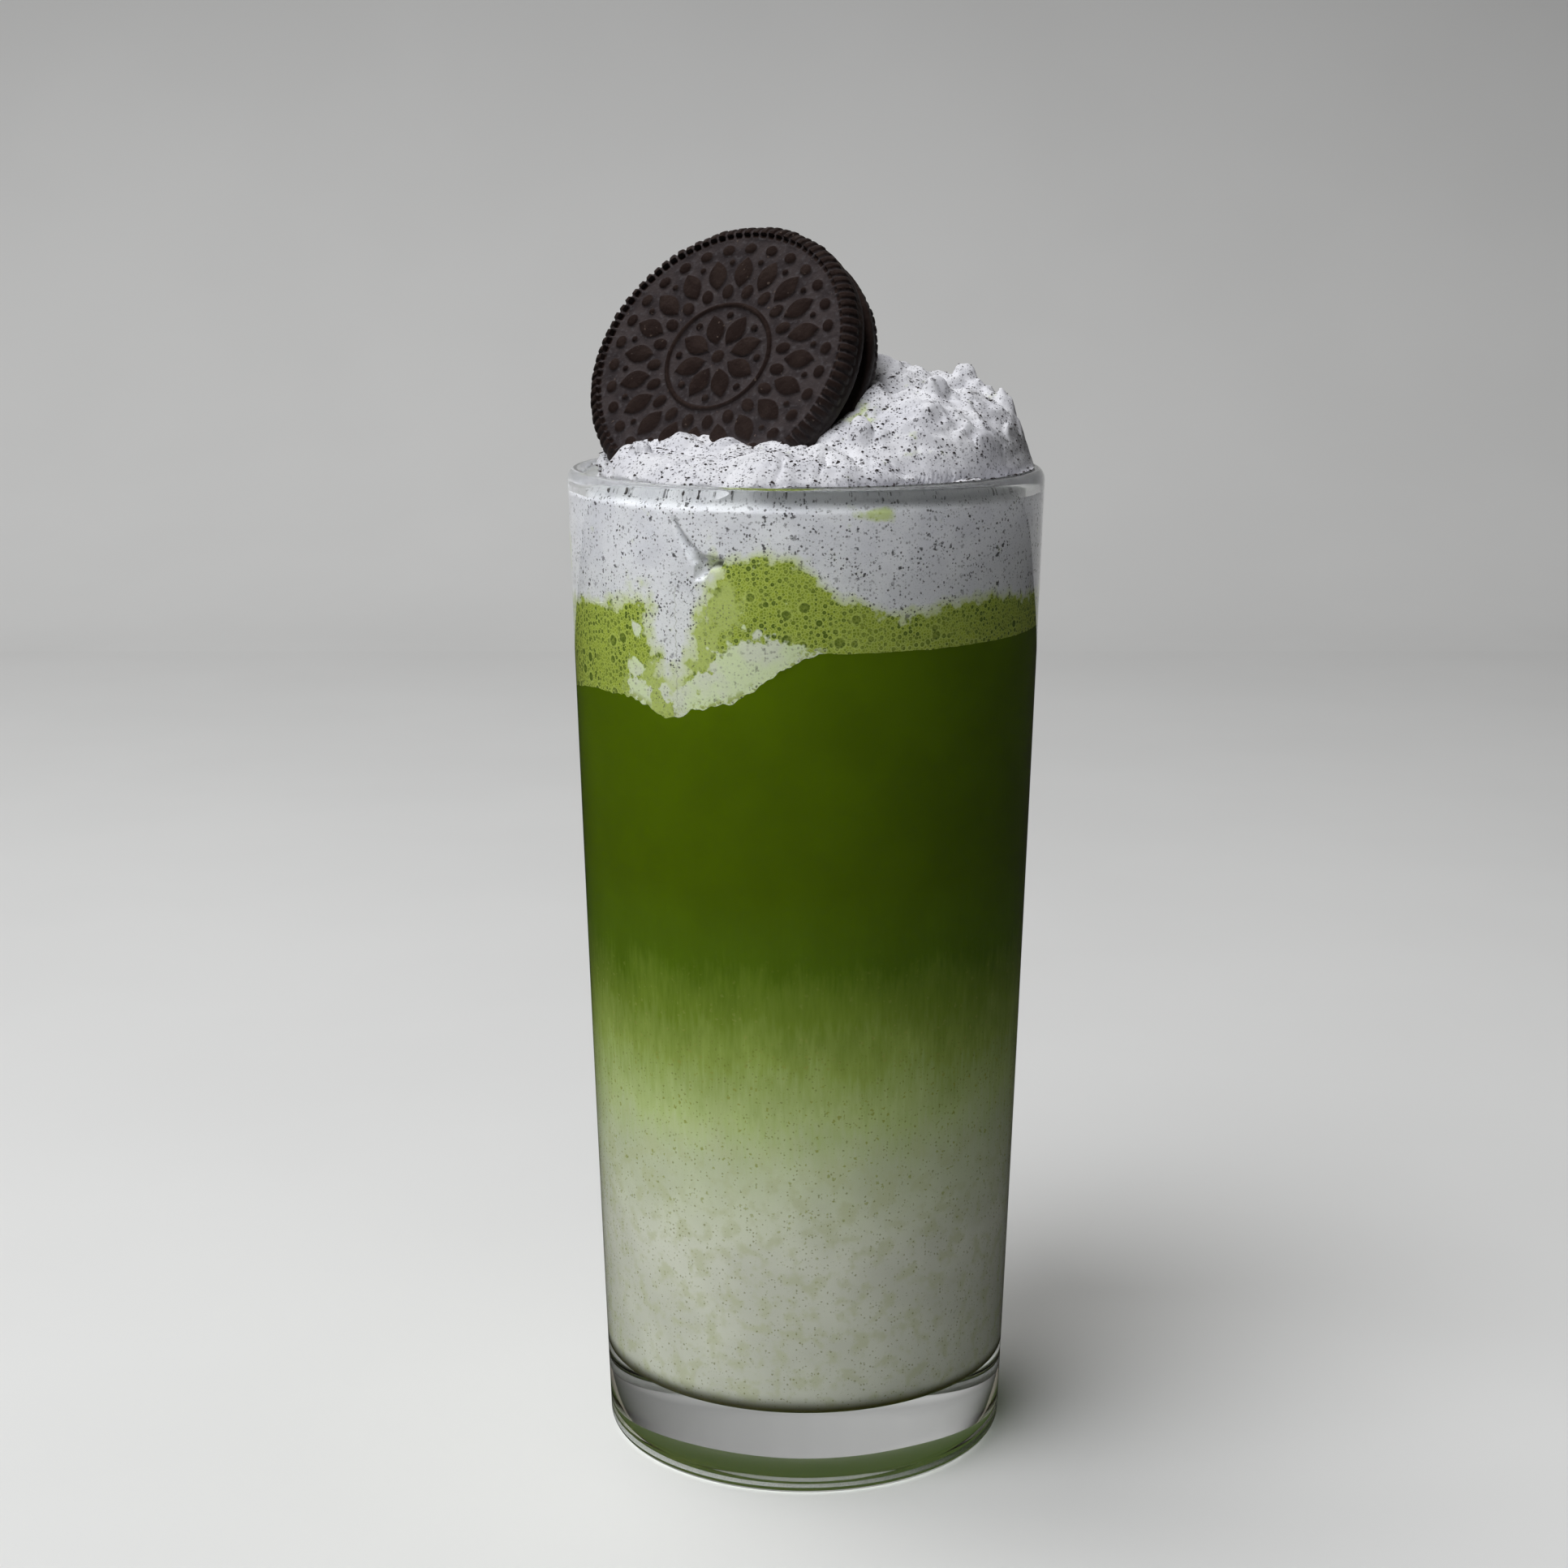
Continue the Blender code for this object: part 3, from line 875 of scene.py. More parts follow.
def paintWall(obj, wallShare):
    # the masks that both materials read
    spots = meshSpots(obj.data)
    angle, height = angleOf(spots), spots[:, 2] * 1000.0
    degrees = np.arange(-180, 181)
    slope = np.gradient(lineHeight(creamLine, degrees))
    steep = np.interp(angle, degrees, slope) / math.radians(wallRadius)
    below = (lineHeight(creamLine, angle) - height) / np.sqrt(1.0 + steep**2)
    soft = wallFades["foam"] + wallFades["tongue"] * hump(-38.0, 11.0, angle)
    wedge = 0.5 + (lineHeight(wedgeLine, angle) - height) / wallFades["wedge"]
    wedge = np.clip(wedge, 0.0, 1.0)
    masks = {
        "foam": np.clip(0.5 + below / soft, 0.0, 1.0),
        "mint": np.maximum(wedge, patchAmount("cream", angle, height)),
        "mottle": np.maximum(patchAmount("mottle", angle, height), 0.6 * wedge),
        "lowEdge": ease(*wallFades["lowEdge"], height - matchaLine(angle) * 1000.0),
        "smooth": patchAmount("smooth", angle, height),
    }
    for name, values in masks.items():
        addAttribute(obj, name, values * wallShare)
    return spots, angle, height


def layeredTopMaterial(name):
    material, tree, shader = newMaterial(name)
    look = frothLook
    where = objectCoordinates(tree)
    onWall = place(tree, "wallMap", where)["Vector"]
    torn = grainAt(tree, where, *look["torn"])
    shreds = grainAt(tree, where, *look["shreds"])["Value"]
    cloud = grainAt(tree, where, *look["cloud"])["Value"]

    def tornMask(kind, mask):
        coarse, fine, start, full, most = tornEdges[kind]
        for value, share in ((torn["Value"], coarse), (shreds, fine)):
            if share:
                mask = addScaled(tree, value, share, mask)
        return remap(tree, mask, start, full, 0.0, most)

    # a lace of tiny cells with bubbles of two sizes in it
    lace = place(tree, "lace", onWall, **look["lace"])
    loose = remap(tree, cloud, 0.38, 0.56, 0.55, 1.0)
    froth = mixColour(tree, lace["Random"], look["froth"], look["cell"])
    froth = mixColour(tree, product(tree, lace["Wall"], 0.75), froth, look["pale"])
    rings = []
    for scale, smallest, largest, rarity, light in bubbleSizes:
        bubbles = place(tree, "froth", onWall, Scale=scale, Smallest=smallest, Largest=largest,
                        Rarity=rarity)
        froth = mixColour(tree, product(tree, bubbles["Wall"], light), froth, look["pale"])
        froth = mixColour(tree, product(tree, bubbles["Middle"], loose), froth, look["bubble"])
        rings.append(bubbles["Wall"])
    mottle = attributeValue(tree, "mottle")
    froth = mixColour(tree, tornMask("veins", mottle), froth, look["mottle"])
    minty = tornMask("mint", attributeValue(tree, "mint"))
    mint = mixColour(tree, remap(tree, cloud, 0.42, 0.62), look["mint"], look["mintShade"])
    froth = mixColour(tree, minty, froth, mint)

    # the cream turns green towards the foam
    foam = attributeValue(tree, "foam")
    cream = mixColour(tree, remap(tree, cloud, 0.38, 0.66), look["cream"], look["creamShade"])
    cream = mixColour(tree, tornMask("tint", foam), cream, look["creamTint"])
    inFoam = tornMask("foam", foam)
    colour = mixColour(tree, inFoam, cream, froth)

    # holes in the low edge of the pale wedge
    lowEdge = attributeValue(tree, "lowEdge")
    hem = product(tree, lowEdge, minty)
    gap = product(tree, hem, remap(tree, shreds, 0.52, 0.58, 0.0, 0.8))
    colour = mixColour(tree, gap, colour, look["hole"])

    # specks, thinner in the clean foam
    flecked = mathNode(tree, "SUBTRACT", 1.0, inFoam)
    for mask, share in ((minty, 0.45), (mottle, 0.6)):
        flecked = mathNode(tree, "MAXIMUM", flecked, product(tree, mask, share))
    flecked = mathNode(tree, "MAXIMUM", addScaled(tree, flecked, 0.95, 0.05), hem)
    rough = mathNode(tree, "SUBTRACT", 1.0, attributeValue(tree, "smooth"))
    flecked = product(tree, flecked, rough, remap(tree, torn["Value"], 0.42, 0.56, 0.45, 1.0))
    marks = 0.0
    for *kind, share, tone in speckSizes:
        mask = product(tree, specksAt(tree, where, *kind), share, flecked)
        colour = mixColour(tree, mask, colour, look[tone])
        marks = mathNode(tree, "MAXIMUM", mask, marks)

    # painted shade: thin darker lines down the cream along its folds on the wall
    for across, low, high, width in foldShadeLines:
        foldShade = place(tree, "foldShade", onWall, Across=across, Low=low, High=high, Width=width)
        colour = mixColour(tree, product(tree, foldShade["Mask"], 0.45), colour, look["foldShade"])

    # matcha smeared over the cream, bubbles along the matcha
    stain = tornMask("stain", attributeValue(tree, "stain"))
    colour = mixColour(tree, stain, colour, look["smear"])
    colour = mixColour(tree, product(tree, lowEdge, rings[0], 0.6), colour, look["drop"])
    finishSurface(tree, shader, colour, look["roughness"], look["specular"])
    bump(tree, shader, addScaled(tree, marks, 0.4, torn["Height"]), 0.35, 0.0003)
    return material


def raggedLine(angle, coarse, fine):
    # size, seed and height of two waves of noise
    return sum(height * aroundNoise(angle, size, seed) for size, seed, height in (coarse, fine))


def foamSide(z):
    return innerRadius(z) + glassSize["intoWall"] * glassSize["foamShare"]


def makeFoam():
    size = layerSize

    def bottom(angle, reach):
        rough = raggedLine(angle, (0.0024, 2.0, 0.00055), (0.0008, 5.0, 0.00035))
        rough = rough * (0.20 + ease(8, -6, angle) * ease(-62, -48, angle))
        return inward(matchaLine(angle) + rough, size["foamLowMiddle"], reach)

    def top(angle, reach):
        line = np.maximum(foamLine(angle) + size["foamLap"],
                          matchaLine(angle) + size["leastFoam"])
        return inward(line, size["foamTopMiddle"], reach)

    rows = plugRows(bottom, top, foamSide, np.linspace(0.1, 1.0, 10),
                    np.linspace(1.0, 0.0, 36)[1:-1], np.linspace(1.0, 0.1, 8),
                    frontColumns(size["columns"]))
    foam = makePlug("foamLayer", rows, size["foamTopMiddle"], size["foamLowMiddle"])
    paintWall(foam, 1.0)
    foam.data.materials.append(layeredTopMaterial("matchaFroth"))
    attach(foam, "root")
    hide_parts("foam")


# The whipped cream

creamSize = {
    "level": 0.1473,
    "contact": 0.1463,  # where it leaves the wall
    "frontRise": 0.0024,
    "leftFall": 0.0010,
    "shoulder": 0.1474,  # from here it lies on the rim, out to the overhang
    "overhang": 0.0334,
    "overRise": 0.0011,
    "recess": 0.0005,  # gap behind the rim
    "rings": 100,
    "sideRows": 68,
    "columns": 540,
}

# the domes of the heap: middle, half widths across, to the front and to the back, height
creamHeaps = (
    (0.0132, 0.006, 0.0212, 0.0265, 0.0230, 0.0147),
    (-0.006, 0.009, 0.0270, 0.0200, 0.0215, 0.0105),
    (-0.008, -0.014, 0.0255, 0.0165, 0.0240, 0.0058),
)

# lumps of the heap: size, seed, height
creamLumps = ((0.0085, 1.7, 0.0016), (0.0045, 7.3, 0.0010))

# curls that stand out of the heap: x, y, radius
creamCurls = (
    (0.0236, 0.0060, 0.0017),
    (0.0295, 0.0010, 0.0015),
    (0.0185, -0.0070, 0.0020),
    (0.0075, -0.0170, 0.0018),
    (-0.0235, -0.0150, 0.0017),
    (0.0020, 0.0235, 0.0021),
)

# matcha smeared on top of the cream: x, y, z, radius
topSmears = (
    (0.0082, -0.0122, 0.1540, 0.0062),
    (-0.0210, 0.0200, 0.1500, 0.0035),
)


def creamEdge(angle):
    size = creamSize
    front = ease(-28, -2, angle) * (1.0 - ease(108, 165, angle))
    left = ease(-48, -85, angle) * (1.0 - ease(-120, -160, angle))
    return size["contact"] + size["frontRise"] * front - size["leftFall"] * left


def dome(x, y, middleX, middleY, wide, front, back, height):
    across = (x - middleX) / wide
    along = (y - middleY) / np.where(y < middleY, front, back)
    return height * np.sqrt(np.clip(1.0 - across * across - along * along, 0.0, None))


def lumps(x, y, size, seed):
    flat = np.stack([np.ravel(x), np.ravel(y), np.full(np.size(x), seed * size)], axis=-1)
    return perlin(flat, size).reshape(np.shape(x))


def creamBody(angle, reach):
    radius = reach * (glassSize["rimRadius"] - glassSize["wall"])
    x = radius * np.sin(np.radians(angle))
    y = -radius * np.cos(np.radians(angle))
    height = sum(dome(x, y, *heap) ** 3 for heap in creamHeaps) ** (1 / 3)
    rough = sum(rise * lumps(x, y, size, seed) for size, seed, rise in creamLumps)
    base = creamSize["level"] + (creamEdge(angle) - creamSize["level"]) * reach**8
    return base + (height + rough) * (1.0 - reach**20)


def creamSide(z):
    # on the wall up to the contact line, free of it behind the rim, then out over the rim
    size = creamSize
    start = innerRadius(size["shoulder"]) - size["recess"]
    over = np.clip((z - size["shoulder"]) / size["overRise"], 0.0, 1.0)
    free = ease(size["contact"] - 0.0014, size["contact"] + 0.0004, z)
    below = innerRadius(z) + glassSize["intoWall"] * (1.0 - free) - size["recess"] * free
    return np.where(z <= size["shoulder"], below, start + (size["overhang"] - start) * over)


def roughenTop(top, reach):
    # lumps, folds and small peaks over the heap
    fold = perlin(top, 0.0032, 4.0)
    small = perlin(top, 0.0014, 6.0)
    tiny = perlin(top, 0.0006, 9.0)
    crease = 1.0 - np.abs(perlin(top, 0.0052, 12.0)) * 2.0
    rough = ease(0.004, 0.016, top[:, 0]) * ease(0.150, 0.154, top[:, 2])
    billow = 0.5 - np.abs(perlin(top, 0.0034, 15.0))
    lift = 0.0006 * fold + (0.00022 + 0.00012 * rough) * small + 0.00010 * tiny
    lift = lift - 0.0005 * np.clip(crease, 0.0, 1.0) ** 4 + 0.0012 * rough * billow
    for x, y, radius in creamCurls:
        gap = np.hypot(top[:, 0] - x, top[:, 1] - y)
        lift = lift + 1.05 * radius * np.sqrt(np.clip(1.0 - (gap / radius) ** 2, 0.0, None))
    top[:, 2] += lift * (1.0 - reach**24)


def pressSide(side):
    # the side lies on the wall, apart from the pocket
    depth = outlineDepth(pocketOutline, angleOf(side), side[:, 2] * 1000.0)
    folds = 0.5 + 0.9 * perlin(side, 0.0016, 33.0)
    press = 0.0016 * ease(-0.05, 0.60, depth) * np.clip(folds, 0.15, 1.2)
    press = press + 0.0006 * ease(-0.12, 0.08, depth)
    press = press + 0.00005 * (1.0 + perlin(side, 0.0030, 18.0))
    side[:, :2] *= 1.0 - (press / np.hypot(side[:, 0], side[:, 1]))[:, None]


def makeCream():
    size = creamSize
    angle = frontColumns(size["columns"])
    rings = 1.0 - (1.0 - np.linspace(0.0, 1.0, size["rings"] + 1)[1:]) ** 1.25
    sideShares = np.linspace(1.0, 0.0, size["sideRows"] + 1)[1:-1]

    def bottom(angle, reach):
        line = np.maximum(foamLine(angle), matchaLine(angle) + layerSize["leastBelowCream"])
        line = line + raggedLine(angle, (0.0042, 3.0, 0.0004), (0.0016, 8.0, 0.0003))
        return inward(line, layerSize["creamLowMiddle"], reach)

    rows = plugRows(bottom, creamBody, creamSide, rings, sideShares,
                    np.linspace(1.0, 0.1, 6), angle)
    top = rows[:len(rings)].reshape(-1, 3)
    roughenTop(top, np.repeat(rings, len(angle)))
    pressSide(rows[len(rings):len(rings) + len(sideShares)].reshape(-1, 3))
    cream = makePlug("whippedCream", rows, float(creamBody(np.zeros(1), np.zeros(1))[0]),
                     layerSize["creamLowMiddle"])
    wallShare = np.ones(len(cream.data.vertices))
    wallShare[:len(top)] = 0.0
    wallShare[-2] = 0.0  # the top pole
    spots, turn, height = paintWall(cream, wallShare)
    stain = patchAmount("smear", turn, height) * wallShare
    for x, y, z, radius in topSmears:
        gap = np.linalg.norm(spots - np.array([x, y, z]), axis=1)
        stain = np.maximum(stain, ease(radius, radius * 0.2, gap))
    addAttribute(cream, "stain", stain)
    cutCookieSlot(cream)
    cream.data.materials.append(layeredTopMaterial("crumbedWhippedCream"))
    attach(cream, "root")
    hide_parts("cream")
    return top


crumbSize = {
    "count": 2600,
    "smallest": 0.00008,
    "largest": 0.00038,
    "fewLarge": 3.2,
    "offCookie": 0.0049,  # from the middle of the cookie's thickness
    "seed": 5,
}

crumbLook = {
    "grain": (2400.0, 2.0),
    "blend": (0.0, 1.0, 0.0, 1.0, "LINEAR"),
    "tones": ((0.012, 0.009, 0.009), (0.055, 0.042, 0.040)),
    "roughness": 0.7,
    "bump": (0.5, 0.0002),
}


def makeCrumbs(top):
    # small flat crumbs, half sunk in the top of the cream
    size = crumbSize
    rng = np.random.default_rng(size["seed"])
    toCookie = cookiePose().inverted()
    weight = np.hypot(top[:, 0], top[:, 1])
    picks = rng.choice(len(top), size=size["count"] * 2, replace=False, p=weight / weight.sum())
    corners = np.array([(1, 0, 0), (0, 1, 0), (-1, 0, 0), (0, -1, 0), (0, 0, 1), (0, 0, -1)],
                       float)
    faces = np.array([(0, 1, 4), (1, 2, 4), (2, 3, 4), (3, 0, 4),
                      (1, 0, 5), (2, 1, 5), (3, 2, 5), (0, 3, 5)])
    verts, tris = [], []
    for pick in picks:
        spot = toCookie @ Vector(top[pick])
        beside = math.hypot(spot.x, spot.y) >= cookieSize["radius"]
        if not beside and abs(spot.z) < size["offCookie"]:
            continue
        share = rng.random() ** size["fewLarge"]
        radius = size["smallest"] + (size["largest"] - size["smallest"]) * share
        shape = corners * (1.0 + 0.5 * (rng.random((6, 1)) - 0.5))
        shape = shape * (radius * (0.8 + 0.9 * rng.random()), radius * 0.75, radius * 0.45)
        turn = rng.random() * math.tau
        tilt = 0.5 * (rng.random(2) - 0.5)
        spin = Euler((tilt[0], tilt[1], turn)).to_matrix()
        tris.append(faces + 6 * len(verts))
        verts.append(shape @ np.array(spin).T + top[pick])
        if len(verts) == size["count"]:
            break
    crumbs = meshFrom("cookieCrumbs", np.concatenate(verts).tolist(),
                      np.concatenate(tris).tolist(), sharpAngle=30.0)
    crumbs.data.materials.append(grainyMaterial("cookieCrumb", crumbLook))
    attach(crumbs, "root")


# The cookie. Its own +Z is the axis of the shown face.

cookieSize = {
    "centre": (-0.0108, 0.0010, 0.1622),
    "lean": 59.1,
    "turn": -31.6,
    "radius": 0.02202,
    "wafer": 0.00375,
    "ground": 0.00330,
    "space": 0.0020,
    "filling": 0.0203,
    "intoWafer": 0.00002,
    "face": 0.0192,
    "ribs": 90,
    "ribDepth": 0.00042,
    "ribSpread": (0.78, 1.08),
    "ribEnds": 0.00018,
    "ribTop": (0.0193, 0.0198),  # radii over which the ribs rise from the face
    "ribFoot": (0.0015, 0.0022),  # and heights
    "darkSide": (0.0023, 0.0014),
    # crumbly surface: size, seed, height
    "crumble": ((0.0009, 0.0, 0.000045), (0.0004, 3.0, 0.000035), (0.0040, 5.0, 0.00008)),
    "columns": 720,
    "faceRings": 86,
    "backTurn": 23.0,
    "sunkSide": 0.0003,  # how far the cream closes in on the edge
    "sunkFaces": 0.0012,  # and on both faces together
}

# the wafer's edge from the face out over the shoulder and down the side: radius, height
bandKnots = (
    (0.0192, 0.00330), (0.01965, 0.00350), (0.0203, 0.00352), (0.0209, 0.00316),
    (0.02135, 0.00262), (0.02168, 0.00195), (0.02202, 0.0011), (0.02202, 0.00045),
    (0.02184, 0.00010), (0.02152, 0.0),
)

# rings of raised motifs: how many, ring radius, length outwards, width, share of a step, leaf
motifRings = (
    (30, 0.0177, 0.0018, 0.0021, 0.0, False),
    (20, 0.0138, 0.0052, 0.0031, 0.0, True),
    (20, 0.0107, 0.0025, 0.0019, 0.5, False),
    (8, 0.0046, 0.0052, 0.0031, 0.5, True),
    (1, 0.0, 0.0022, 0.0022, 0.0, False),
    (20, 0.0156, 0.0010, 0.0010, 0.5, False),
    (8, 0.0067, 0.0012, 0.0012, 0.0, False),
)
plainRing = {"radius": 0.0084, "width": 0.0008}

waferLook = {
    "relief": (0.019, 0.0120, 0.0105),
    "reliefBlotch": (0.030, 0.020, 0.017),
    "ground": (0.053, 0.043, 0.043),
    "groundBlotch": (0.033, 0.027, 0.028),
    "dust": (0.085, 0.078, 0.082),
    "glint": (0.16, 0.12, 0.10),
    "grain": (1500.0, 4.0),  # scale, detail
    "blotch": (300.0, 3.0),
    "glints": (1100.0, 0.26, 0.8, 5.0),  # scale, largest, ragged, rarity
    "roughness": (0.85, 0.62),  # of the ground and of the relief
    "specular": 0.4,
}


def cookiePose():
    size = cookieSize
    turn = Euler((math.radians(size["lean"]), 0.0, math.radians(size["turn"]))).to_matrix()
    return Matrix.Translation(size["centre"]) @ turn.to_4x4()


def dropLooseCorners(mesh):
    # the cut leaves a few corners with only two edges, where two faces would fold together
    shell = bmesh.new()
    shell.from_mesh(mesh)
    loose = [corner for corner in shell.verts if len(corner.link_edges) == 2]
    bmesh.ops.dissolve_verts(shell, verts=loose)
    shell.to_mesh(mesh)
    shell.free()
    print("loose corners removed:", len(loose))


def cutCookieSlot(cream):
    size = cookieSize
    bpy.ops.mesh.primitive_cylinder_add(
        vertices=240, radius=size["radius"] - size["sunkSide"],
        depth=2 * size["wafer"] + size["space"] - size["sunkFaces"],
    )
    cutter = bpy.context.object
    cutter.matrix_world = cookiePose()
    cut = cream.modifiers.new("cookieSlot", "BOOLEAN")
    cut.operation = "DIFFERENCE"
    cut.object = cutter
    cut.solver = "MANIFOLD"
    graph = bpy.context.evaluated_depsgraph_get()
    mesh = bpy.data.meshes.new_from_object(cream.evaluated_get(graph))
    mesh.materials.clear()
    dropLooseCorners(mesh)
    cream.modifiers.clear()
    cream.data = mesh
    bpy.data.objects.remove(cutter, do_unlink=True)


def motifRelief(x, y):
    # 0 on the ground of the face to 1 on top of a motif
    radius = np.hypot(x, y)
    polar = np.arctan2(y, x)
    raised = np.zeros_like(radius)
    for count, ring, length, width, shift, leaf in motifRings:
        step = math.tau / count
        off = (polar - math.pi / 2 - shift * step + step / 2) % step - step / 2
        if ring == 0.0:
            share = radius / (width / 2)
        else:
            across = radius * np.sin(off) / (width / 2)
            along = (radius * np.cos(off) - ring) / (length / 2)
            share = np.abs(across) + along**2 if leaf else np.hypot(across, along)
        raised = np.maximum(raised, np.sqrt(np.clip(1.08 - share**2, 0.0, 1.0)))
    band = np.abs(radius - plainRing["radius"]) / (plainRing["width"] / 2)
    return np.maximum(raised, ease(1.2, 0.5, band))


def waferMaterial():
    material, tree, shader = newMaterial("cocoaWafer")
    look = waferLook
    where = objectCoordinates(tree)
    grain = grainAt(tree, where, *look["grain"])
    blotch = grainAt(tree, where, *look["blotch"])["Value"]
    height = addScaled(tree, grain["Value"], 0.35, attributeValue(tree, "raised"))
    dusty = mixColour(tree, remap(tree, blotch, 0.35, 0.7), look["ground"], look["groundBlotch"])
    dusty = mixColour(tree, remap(tree, grain["Value"], 0.50, 0.75, 0.0, 0.6), dusty,
                      look["dust"])
    dark = mixColour(tree, remap(tree, blotch, 0.40, 0.75), look["relief"], look["reliefBlotch"])
    colour = mixColour(tree, remap(tree, height, 0.35, 0.75), dusty, dark)
    glints = specksAt(tree, where, *look["glints"])
    colour = mixColour(tree, product(tree, glints, 0.5), colour, look["glint"])
    finishSurface(tree, shader, colour, remap(tree, height, 0.35, 0.8, *look["roughness"]),
                  look["specular"])
    bump(tree, shader, addScaled(tree, glints, 0.6, grain["Height"]), 0.55, 0.00025)
    return material


def bandCurve():
    knots = np.array(bandKnots)
    along = np.concatenate([[0], np.cumsum(np.hypot(*np.diff(knots, axis=0).T))])
    fine = np.linspace(0, along[-1], 34)
    smooth = np.stack([np.interp(fine, along, knots[:, i]) for i in (0, 1)], axis=-1)
    smooth[1:-1] = (smooth[:-2] + 2 * smooth[1:-1] + smooth[2:]) / 4
    return smooth


def ribStrength(turn, seed):
    # how far each column is out on a rib, and how much lower its rib ends
    size = cookieSize
    wobble = 0.10 * np.sin(3.0 * turn + seed) + 0.06 * np.sin(7.0 * turn + 2 * seed)
    phase = turn * size["ribs"] / math.tau + wobble
    tooth = np.abs((phase % 1.0) - 0.5) * 2.0  # 1 in a groove, 0 on a rib
    number = np.floor(phase).astype(int)
    random.seed(int(seed))
    count = range(size["ribs"] + 2)
    strength = np.array([random.uniform(*size["ribSpread"]) for _ in count])
    ends = np.array([random.uniform(-size["ribEnds"], size["ribEnds"]) for _ in count])
    return ease(0.88, 0.50, tooth) * strength[number], ends[number]


def makeWaferMesh(name, seed):
    size = cookieSize
    columns = size["columns"]
    turn = np.linspace(0.0, math.tau, columns, endpoint=False)
    rows, raisedRows = [], []

    def addRow(radius, z, raised):
        flat = np.zeros(columns)
        rows.append(np.stack([radius * np.cos(turn), radius * np.sin(turn), z + flat], axis=-1))
        raisedRows.append(raised + flat)

    for radius in np.linspace(0.0, size["face"], size["faceRings"] + 1)[1:-1]:
        raised = motifRelief(radius * np.cos(turn), radius * np.sin(turn))
        addRow(radius, size["ground"] + (size["wafer"] - size["ground"]) * raised, raised)
    curve = bandCurve()
    slope = np.gradient(curve, axis=0)
    normal = np.stack([-slope[:, 1], slope[:, 0]], axis=-1)
    normal /= np.linalg.norm(normal, axis=1)[:, None]
    normal *= np.where(normal[:, :1] < 0, -1.0, 1.0)
    normal[0] = (0.0, 1.0)
    rib, ends = ribStrength(turn, seed)
    for (radius, z), (outward, upward) in zip(curve, normal):
        raised = rib * ease(*size["ribTop"], radius) * ease(*size["ribFoot"], z + ends)
        lift = size["ribDepth"] * raised
        addRow(radius + outward * lift, z + upward * lift,
               np.maximum(raised, ease(*size["darkSide"], z)))
    for radius in (0.0205, 0.017, 0.010):
        addRow(radius, 0.0, 0.4)

    # crumbly all over the shown side
    rows = np.array(rows)
    shown = rows.reshape(-1, 3)
    rough = sum(rise * perlin(shown, wide, seed + shift) for wide, shift, rise in size["crumble"])
    shown[:, 2] += rough * np.clip(shown[:, 2] / size["wafer"], 0.0, 1.0)
    radial = np.hypot(shown[:, 0], shown[:, 1])
    shown[:, :2] *= (1.0 + rough * ease(0.0195, 0.0215, radial) / radial)[:, None]
    wafer = ringMesh(name, shown.reshape(rows.shape), (0, 0, size["wafer"]), (0, 0, 0))
    addAttribute(wafer, "raised", np.concatenate([*raisedRows, [1.0, 0.4]]))
    return wafer


def makeCookie():
    size = cookieSize
    pose = cookiePose()
    material = waferMaterial()
    half = Matrix.Translation((0, 0, size["space"] / 2))
    turned = Euler((math.pi, 0.0, math.radians(size["backTurn"]))).to_matrix().to_4x4()
    back = Matrix.Translation((0, 0, -size["space"] / 2)) @ turned
    for name, node, place, seed in (
        ("cookieFront", "wafer_front", half, 21.0),
        ("cookieBack", "wafer_back", back, 47.0),
    ):
        wafer = makeWaferMesh(name, seed)
        wafer.data.transform(pose @ place)
        wafer.data.materials.append(material)
        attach(wafer, "root")
        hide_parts(node)
    makeFilling(pose)


fillingLook = {
    "grain": (800.0, 3.0),
    "blend": (0.4, 0.7),
    "tones": ((0.46, 0.43, 0.39), (0.36, 0.33, 0.30)),
    "roughness": 0.6,
    "bump": (0.4, 0.0002),
}


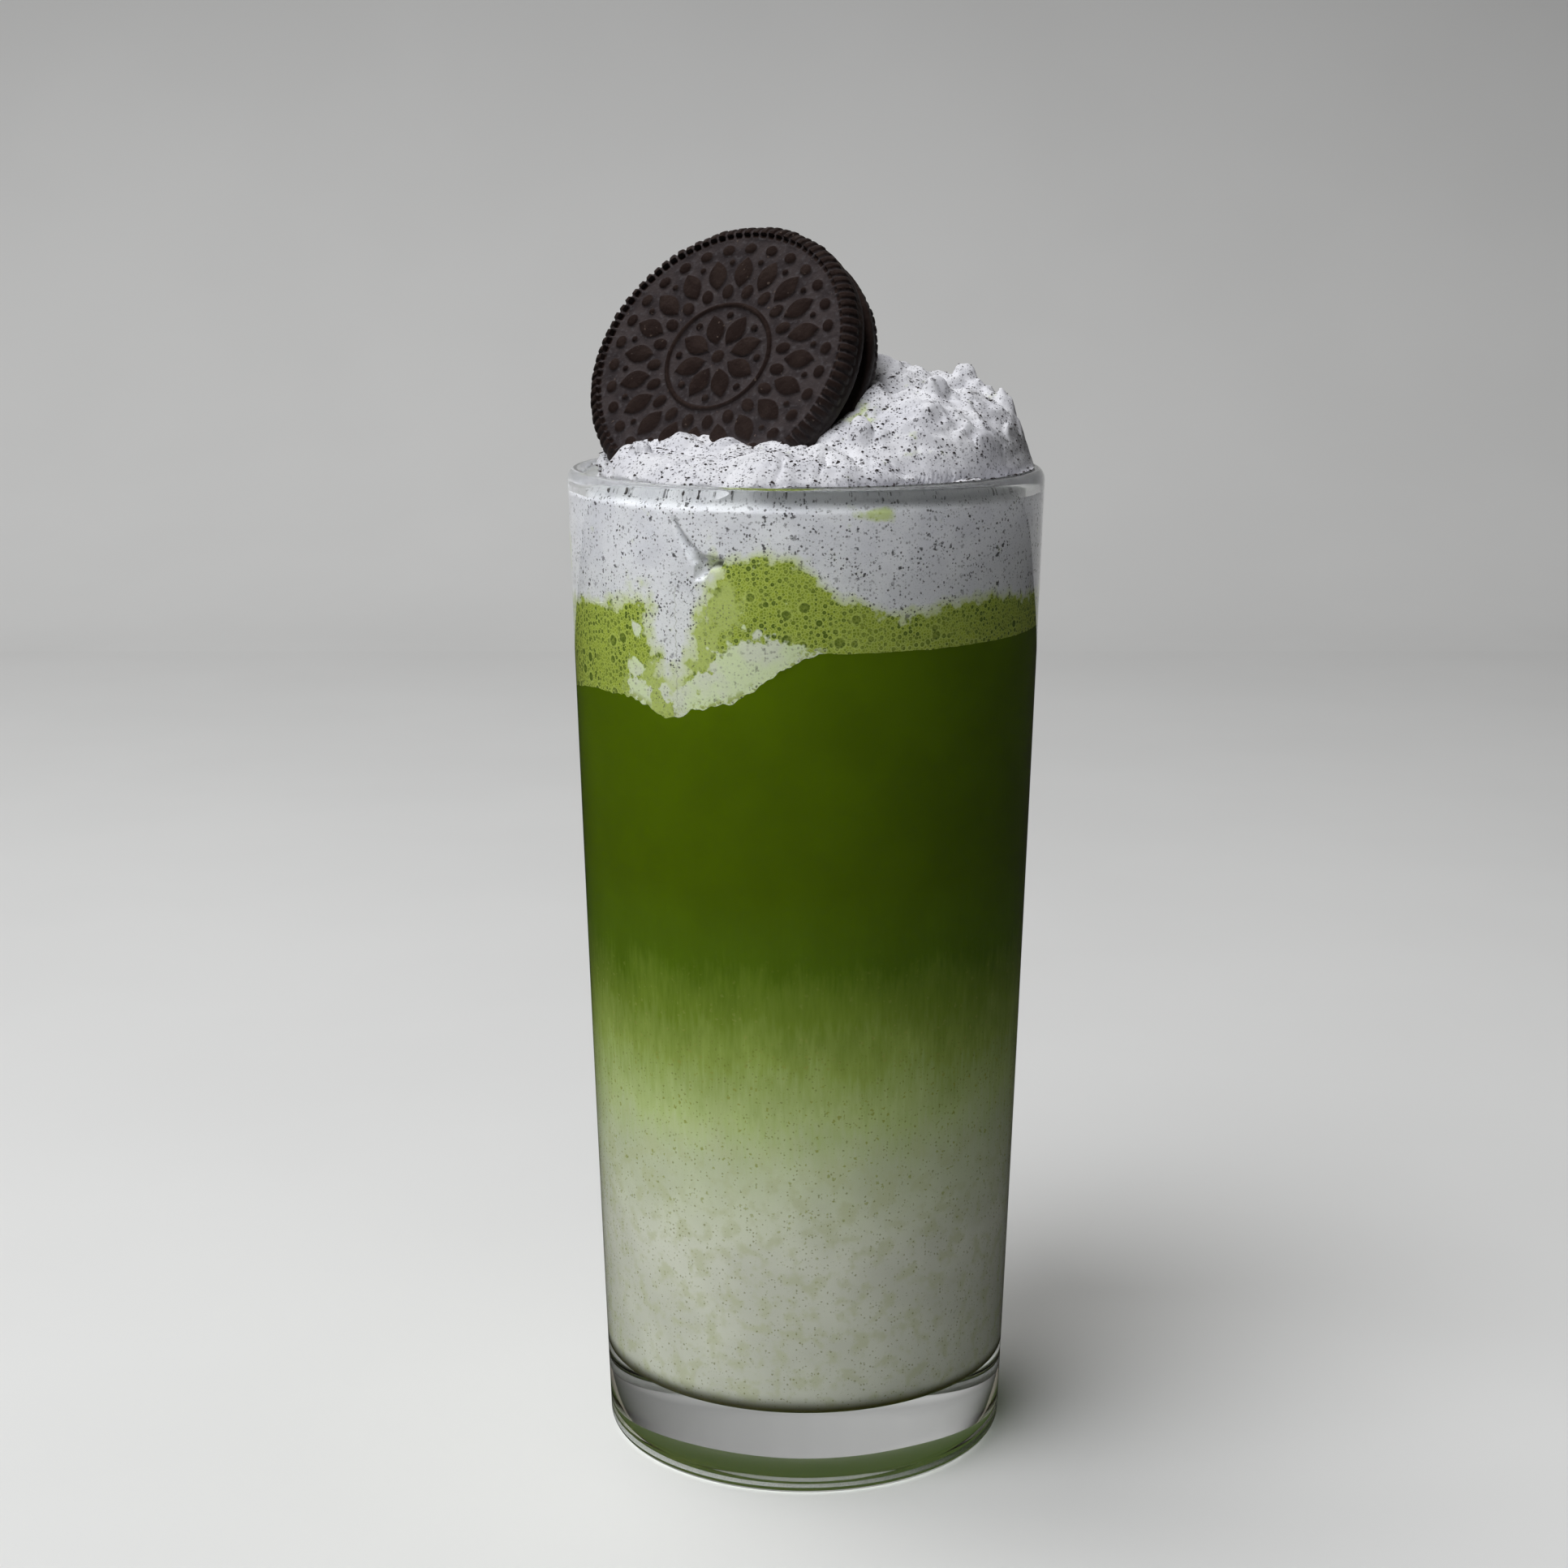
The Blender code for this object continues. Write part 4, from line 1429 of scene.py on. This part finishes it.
def makeFilling(pose):
    size = cookieSize
    half = size["space"] / 2 + size["intoWafer"]
    profile = [(0.0, half), (0.010, half)]
    profile += [(size["filling"] - 0.0003 * abs(t) ** 3, -half * t)
                for t in np.linspace(-1.0, 1.0, 9)]
    profile += [(0.010, -half), (0.0, -half)]
    filling = turnedMesh("cookieFilling", profile, 240)
    data = filling.data
    spots = meshSpots(data)
    radial = np.hypot(spots[:, 0], spots[:, 1])
    wave = 1.0 + 0.012 * perlin(spots, 0.0040, 3.0) * ease(0.018, 0.0195, radial)
    spots[:, :2] *= wave[:, None]
    data.vertices.foreach_set("co", spots.astype(np.float32).reshape(-1))
    data.transform(pose)
    data.materials.append(grainyMaterial("sugarCream", fillingLook))
    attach(filling, "root")
    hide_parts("filling")


# Floor and backdrop

backdropSize = {
    "far": 1.1,
    "bend": 0.35,
    "wallTop": 1.8,
    "near": -1.2,
    "wide": 2.4,
}

backdropLook = {
    "grain": (9.0, 3.0),
    "blend": (0.3, 0.7),
    "tones": ((0.775, 0.775, 0.765), (0.795, 0.795, 0.785)),
    "roughness": 0.75,
    "bump": None,
}


def stageSheet(name, line, material):
    wide = backdropSize["wide"]
    verts = [(side, y, z) for y, z in line for side in (-wide, wide)]
    quads = [(2 * i, 2 * i + 1, 2 * i + 3, 2 * i + 2) for i in range(len(line) - 1)]
    sheet = meshFrom(name, verts, quads)
    sheet.data.materials.append(material)
    sheet.visible_diffuse = False  # the dark side of the drink stays dark
    return sheet


def makeBackdrop():
    size = backdropSize
    material = grainyMaterial("paleBackdrop", backdropLook)
    start = size["far"] - size["bend"]
    floor = stageSheet("floor", [(size["near"], 0.0), (start, 0.0)], material)
    floor.visible_glossy = False  # keeps a pale veil off the glass
    bend = [(start + size["bend"] * math.sin(a), size["bend"] * (1.0 - math.cos(a)))
            for a in np.radians(np.linspace(0, 90, 19))]
    stageSheet("backdrop", bend + [(size["far"], size["wallTop"])], material)


makeCamera()
makeLights()
makeBackdrop()
print("room done")
makeGlass()
print("glass done")
drink = drinkMaterial()
makeMilk(drink)
makeMatcha(drink)
print("milk and matcha done")
makeFoam()
print("foam done")
creamTop = makeCream()
makeCrumbs(creamTop)
print("cream done")
makeCookie()
print("cookie done")
